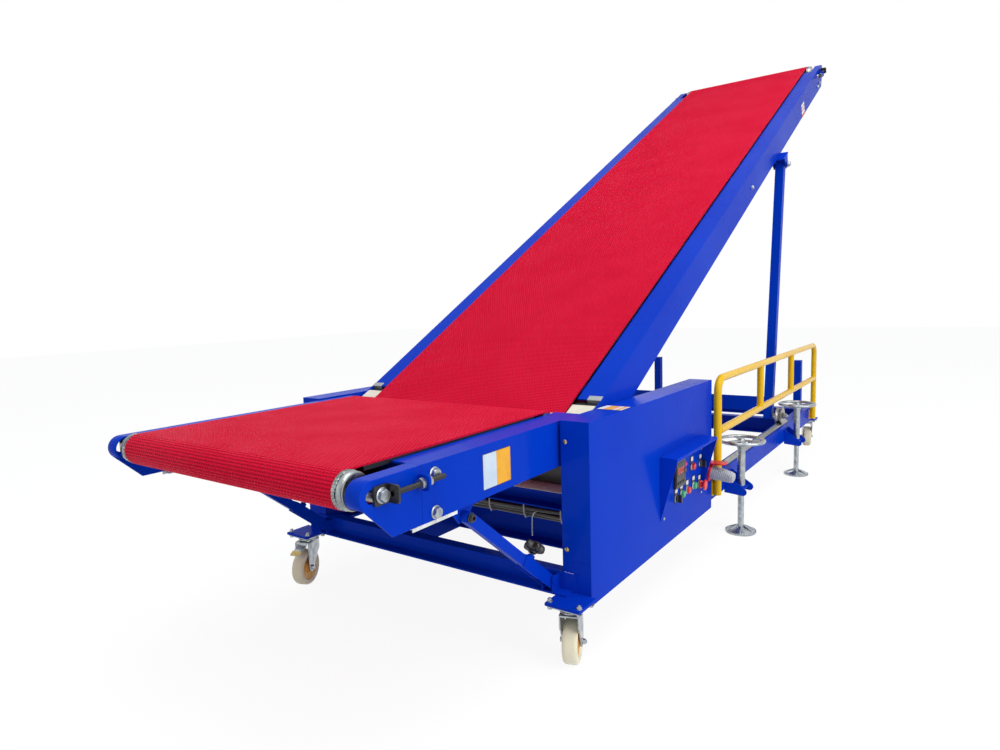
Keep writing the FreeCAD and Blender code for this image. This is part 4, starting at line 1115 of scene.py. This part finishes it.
for name in jack_names:
    leg = middle("jack_leg_" + name)
    centre = np.array((leg.x, leg.y, sleeve_high.z - rim_bar))
    spoke_level = centre - np.array((0, 0, spoke_sheet / 2))
    wheels.append(torus(centre, rim_radius, rim_bar))
    wheels.append(turned(sleeve, (leg.x, leg.y, sleeve_low.z), upwards, 28))
    wheels.append(turned(hub_profile, centre - np.array((0, 0, hub_drop)), upwards, 28))
    for degrees in spoke_angles:
        way, across = level_ray(degrees)
        for shift in (-spoke_shift, spoke_shift):
            wheels.append(slab(spoke_bar, spoke_level + across * shift, way, across, spoke_sheet))
        for along in link_places:
            wheels.append(slab(spoke_link, spoke_level + way * along, way, across, spoke_sheet))
    foot = np.array((leg.x, leg.y, foot_top))
    parts = [turned(cone, foot, upwards, 32)]
    for degrees in fin_angles:
        way, across = level_ray(degrees)
        parts.append(slab(fin, foot - across * fin_sheet / 2, way, upwards, -fin_sheet))
    piece_of("jack_foot_" + name, joined(parts), bright_zinc, "jack_" + name, edge=0.0006)
piece_of("jack_handwheel_rims", joined(wheels), bright_zinc, "chassis", ("jack_handwheels",),
         edge=0.0006)

# ---- Handrails
# Two yellow tube hoops with a middle rail and two uprights, welded where they meet. Each foot has a
# flat clamp plate bolted through the rail.
rail_low, rail_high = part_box("handrails")


tube_radius = 0.01685
hoop_y = rail_high.y - tube_radius
hoop_long = 2.143
foot_z = 0.235
middle_z = 0.520
bend = 0.060
weld_in = 0.001
clamp_sheet = 0.0068
clamp_gap = 0.0065
clamp_bolt = 0.009
clamp_bolt_x = 0.032
clamp_bolt_levels = (0.248, 0.282)
hoop_start = rail_low.x + tube_radius
hoop_end = hoop_start + hoop_long
top_z = rail_high.z - tube_radius


def tube(route, radius, sides=18):
    """A round tube through a list of points, each ring square to the run of its neighbours."""
    route = np.array(route, float)
    side = np.array((0.0, 1.0, 0.0))
    rings = []
    for at, way in zip(route, np.gradient(route, axis=0)):
        up = np.cross(way / np.linalg.norm(way), side)
        rings.append(at + radius * spokes(round_angles(sides), side, up))
    return capped(rings)


def weld_bead(at, way):
    """The round bead where one tube is welded onto another."""
    return ring_of([(0.0, 0.0150), (0.0, 0.0192), (0.0030, 0.0178), (0.0042, 0.0150)], at, way, 24)


clamp = [(-0.016, -0.006), (0.038, -0.006), (0.044, 0.0), (0.044, 0.056), (0.038, 0.062), (-0.016, 0.062)]
quarter = np.linspace(0.0, math.pi / 2, 9)
rails, clamps, clamp_bolts = [], [], []
for side in (-1, 1):
    y = side * hoop_y
    hoop = [(hoop_start, y, foot_z)]
    hoop += [(hoop_start + bend - bend * math.cos(a), y, top_z - bend + bend * math.sin(a)) for a in quarter]
    hoop += [(hoop_end - bend + bend * math.sin(a), y, top_z - bend + bend * math.cos(a)) for a in quarter]
    hoop.append((hoop_end, y, foot_z))
    rails.append(tube(hoop, tube_radius))
    rails.append(tube([(x, y, middle_z) for x in (hoop_start, (hoop_start + hoop_end) / 2, hoop_end)],
                      tube_radius))
    for share in (1 / 3, 2 / 3):
        x = hoop_start + share * (hoop_end - hoop_start)
        rails.append(tube([(x, y, z) for z in (middle_z, (middle_z + top_z) / 2, top_z)], tube_radius))
        rails.append(weld_bead((x, y, middle_z + tube_radius - weld_in), (0, 0, 1)))
        rails.append(weld_bead((x, y, top_z - tube_radius + weld_in), (0, 0, -1)))
    rails.append(weld_bead((hoop_start + tube_radius - weld_in, y, middle_z), (1, 0, 0)))
    rails.append(weld_bead((hoop_end - tube_radius + weld_in, y, middle_z), (-1, 0, 0)))
    plate_y = side * (hoop_y - tube_radius - clamp_gap)
    for x in (hoop_start, hoop_end):
        clamps.append(upright(clamp, (x, plate_y, foot_z), clamp_sheet * -side))
        for z in clamp_bolt_levels:
            clamp_bolts += bolt((x + clamp_bolt_x, plate_y + side * clamp_sheet, z), (0, side, 0), clamp_bolt)
piece_of("handrail_hoops", joined(rails + clamps), yellow_paint, "chassis", ("handrails",),
         smooth=32.0)
piece_of("handrail_clamp_bolts", joined(clamp_bolts), bright_zinc, "chassis")

# ---- Transfer between the belts
# A thin cream roller on a steel shaft fills the gap between the two belts. Beside the boom's tail lies
# a cream filler with a black pad behind it, and a galvanised clip closes the end of each boom flange.
cream_colours = ((0.80, 0.76, 0.64), (0.72, 0.68, 0.56))
roller_cream = finish("roller_cream", cream_colours, 20.0, (0.40, 0.55), 0.0003, 300.0)
nip = np.array((front_x + 0.168, 0.0, 0.7285))
shaft_half = 0.603
shaft_radius = 0.006
shell_long = 0.103
shell_pitch = 0.1095
shells_half = 0.4905
filler_thick = 0.088
clip_half = 0.026
clip_sheet = 0.0025
clip_y = 0.523
shaft = turned([(0.0, shaft_radius), (2 * shaft_half, shaft_radius)], nip - np.array((0, shaft_half, 0)),
               (0, 1, 0), 16)
shell = [(0.0, 0.0080), (0.001, 0.0095), (shell_long - 0.001, 0.0095), (shell_long, 0.0080)]
shells = [turned(shell, nip + np.array((0, k * shell_pitch - shells_half, 0)), (0, 1, 0), 20)
          for k in range(9)]
piece_of("transfer_shaft", shaft, turned_steel, "chassis")
piece_of("transfer_rollers", joined(shells), roller_cream, "chassis")
block = [(0.022, 0.0385), (0.030, 0.0325), (0.038, 0.0225), (0.044, 0.008), (0.084, 0.008), (0.084, 0.034),
         (0.078, 0.0385), (0.034, 0.0405), (0.026, 0.0405)]
pad = [(0.0845, 0.008), (0.1115, 0.008), (0.1115, 0.024), (0.0845, 0.030)]
flat = [(0.112, -clip_half), (0.134, -clip_half), (0.134, clip_half), (0.112, clip_half)]
lip = [(-clip_half, clip_sheet), (clip_half, clip_sheet), (clip_half, -0.024), (-clip_half, -0.024)]
fillers, pads, clips = [], [], []
tail_up, tail_way = np.array(slope_up), np.array(slope)
for side in (-1, 1):
    base = np.array(boom_tail) + np.array((0.0, side * (belt_half + 0.004), 0.0))
    fillers.append(slab(block, base, tail_way, tail_up, -filler_thick * side))
    pads.append(slab(pad, base, tail_way, tail_up, -filler_thick * side))
    clip_at = np.array(boom_tail) + np.array((0.0, side * clip_y, 0.0)) + tail_up * 0.0363
    clips.append(slab(flat, clip_at, tail_way, (0, 1, 0), clip_sheet))
    clips.append(slab(lip, clip_at + tail_way * 0.1115, (0, 1, 0), tail_up, -clip_sheet))
piece_of("boom_fillers", joined(fillers), roller_cream, "boom", edge=0.002)
piece_of("boom_filler_pads", joined(pads), knob_black, "boom", edge=0.001)
piece_of("boom_flange_clips", joined(clips), galvanised, "boom", edge=0.0006)

# ---- Wiring under the deck
# The upper cross beam is capped by a pale galvanised strip. A black closed wiring duct runs along it,
# and a bundle of black cables is tied up under it, with a wire hook that holds their ties.
upper_beam = front_x + 0.200
duct_half = cover_side - 0.110
beam_top = 0.4604
cap_sheet = 0.002
strip_colours = ((0.86, 0.87, 0.86), (0.66, 0.68, 0.68))
pale_strip = finish("pale_strip", strip_colours, 60.0, (0.45, 0.65), 0.0004, 200.0)
cap = [(-0.028, 0.0), (0.128, 0.0), (0.128, cap_sheet), (-0.028, cap_sheet)]
piece_of("beam_cap", upright(cap, (upper_beam, duct_half, beam_top), 2 * duct_half), pale_strip, "chassis",
         edge=0.0005)
trunk = [(-0.030, 0.0), (0.030, 0.0), (0.030, 0.060), (0.033, 0.060), (0.033, 0.070), (-0.033, 0.070),
         (-0.033, 0.060), (-0.030, 0.060)]
piece_of("wiring_duct", upright(trunk, (upper_beam + 0.094, duct_half, beam_top + 0.0022), 2 * duct_half),
         knob_black, "chassis", edge=0.001)


def cable(k, x, z, radius):
    """A cable across the machine: it sways 3 mm sideways and 2 mm up and down as sines of y."""
    y = np.linspace(-duct_half, duct_half, 60)
    sway = 0.003 * np.sin(y * (9.0 + k) + k * 1.7)
    lift = 0.002 * np.sin(y * (7.0 + 1.3 * k) + k) - 0.0005 * k
    line = np.stack([upper_beam + x + sway, y, z + lift], 1)
    return capped(line[:, None, :] + spokes(round_angles(12), (1, 0, 0), (0, 0, 1))[None, :, :] * radius)


cables = [cable(k, *place) for k, place in enumerate((
    (-0.020, 0.389, 0.0085), (-0.004, 0.391, 0.0075), (0.012, 0.389, 0.0090),
    (-0.014, 0.374, 0.0080), (0.003, 0.373, 0.0085), (-0.005, 0.361, 0.0065)))]
piece_of("wiring_bundle", joined(cables), knob_black, "chassis")
band = [(-0.032, 0.4000), (-0.032, 0.372), (-0.020, 0.350), (0.010, 0.350), (0.024, 0.372), (0.024, 0.4000)]
inner = [(x * 0.955, z + 0.0012) for x, z in band]
ties = [upright(band + inner[::-1], (upper_beam, y, 0.0), 0.005) for y in np.arange(-0.45, 0.46, 0.15)]
piece_of("wiring_ties", joined(ties), plug_grey, "chassis")
hook_at = np.array((upper_beam - 0.028, -0.345, 0.380))
hook_shape = ((0.0, -0.012, 0.004), (-0.003, 0.0, -0.003), (-0.004, 0.007, -0.020), (-0.004, 0.008, -0.060),
              (-0.004, 0.008, -0.086))
hook_line = [hook_at + np.array(p) for p in hook_shape]
wire_radius = 0.0022
piece_of("wire_hook", tube(hook_line, wire_radius, 10), bright_zinc, "chassis")

# ---- Strip under the deck's frames
# A short strip of galvanised sheet lies under each side frame of the deck, folded down along its outer
# edge. It carries the foot of the prop's lug.
strip_start, strip_end = -0.656, -0.492
strips = []
for side in (-1, 1):
    for low, high, near, far in ((0.600, 0.602, 0.505, 0.545), (0.593, 0.600, 0.543, 0.545)):
        outline = [(strip_start, low), (strip_end, low), (strip_end, high), (strip_start, high)]
        strips.append(upright(outline, (front_x, side * near, 0.0), -side * (far - near)))
piece_of("deck_strips", joined(strips), pale_strip, "infeed", edge=0.0004)
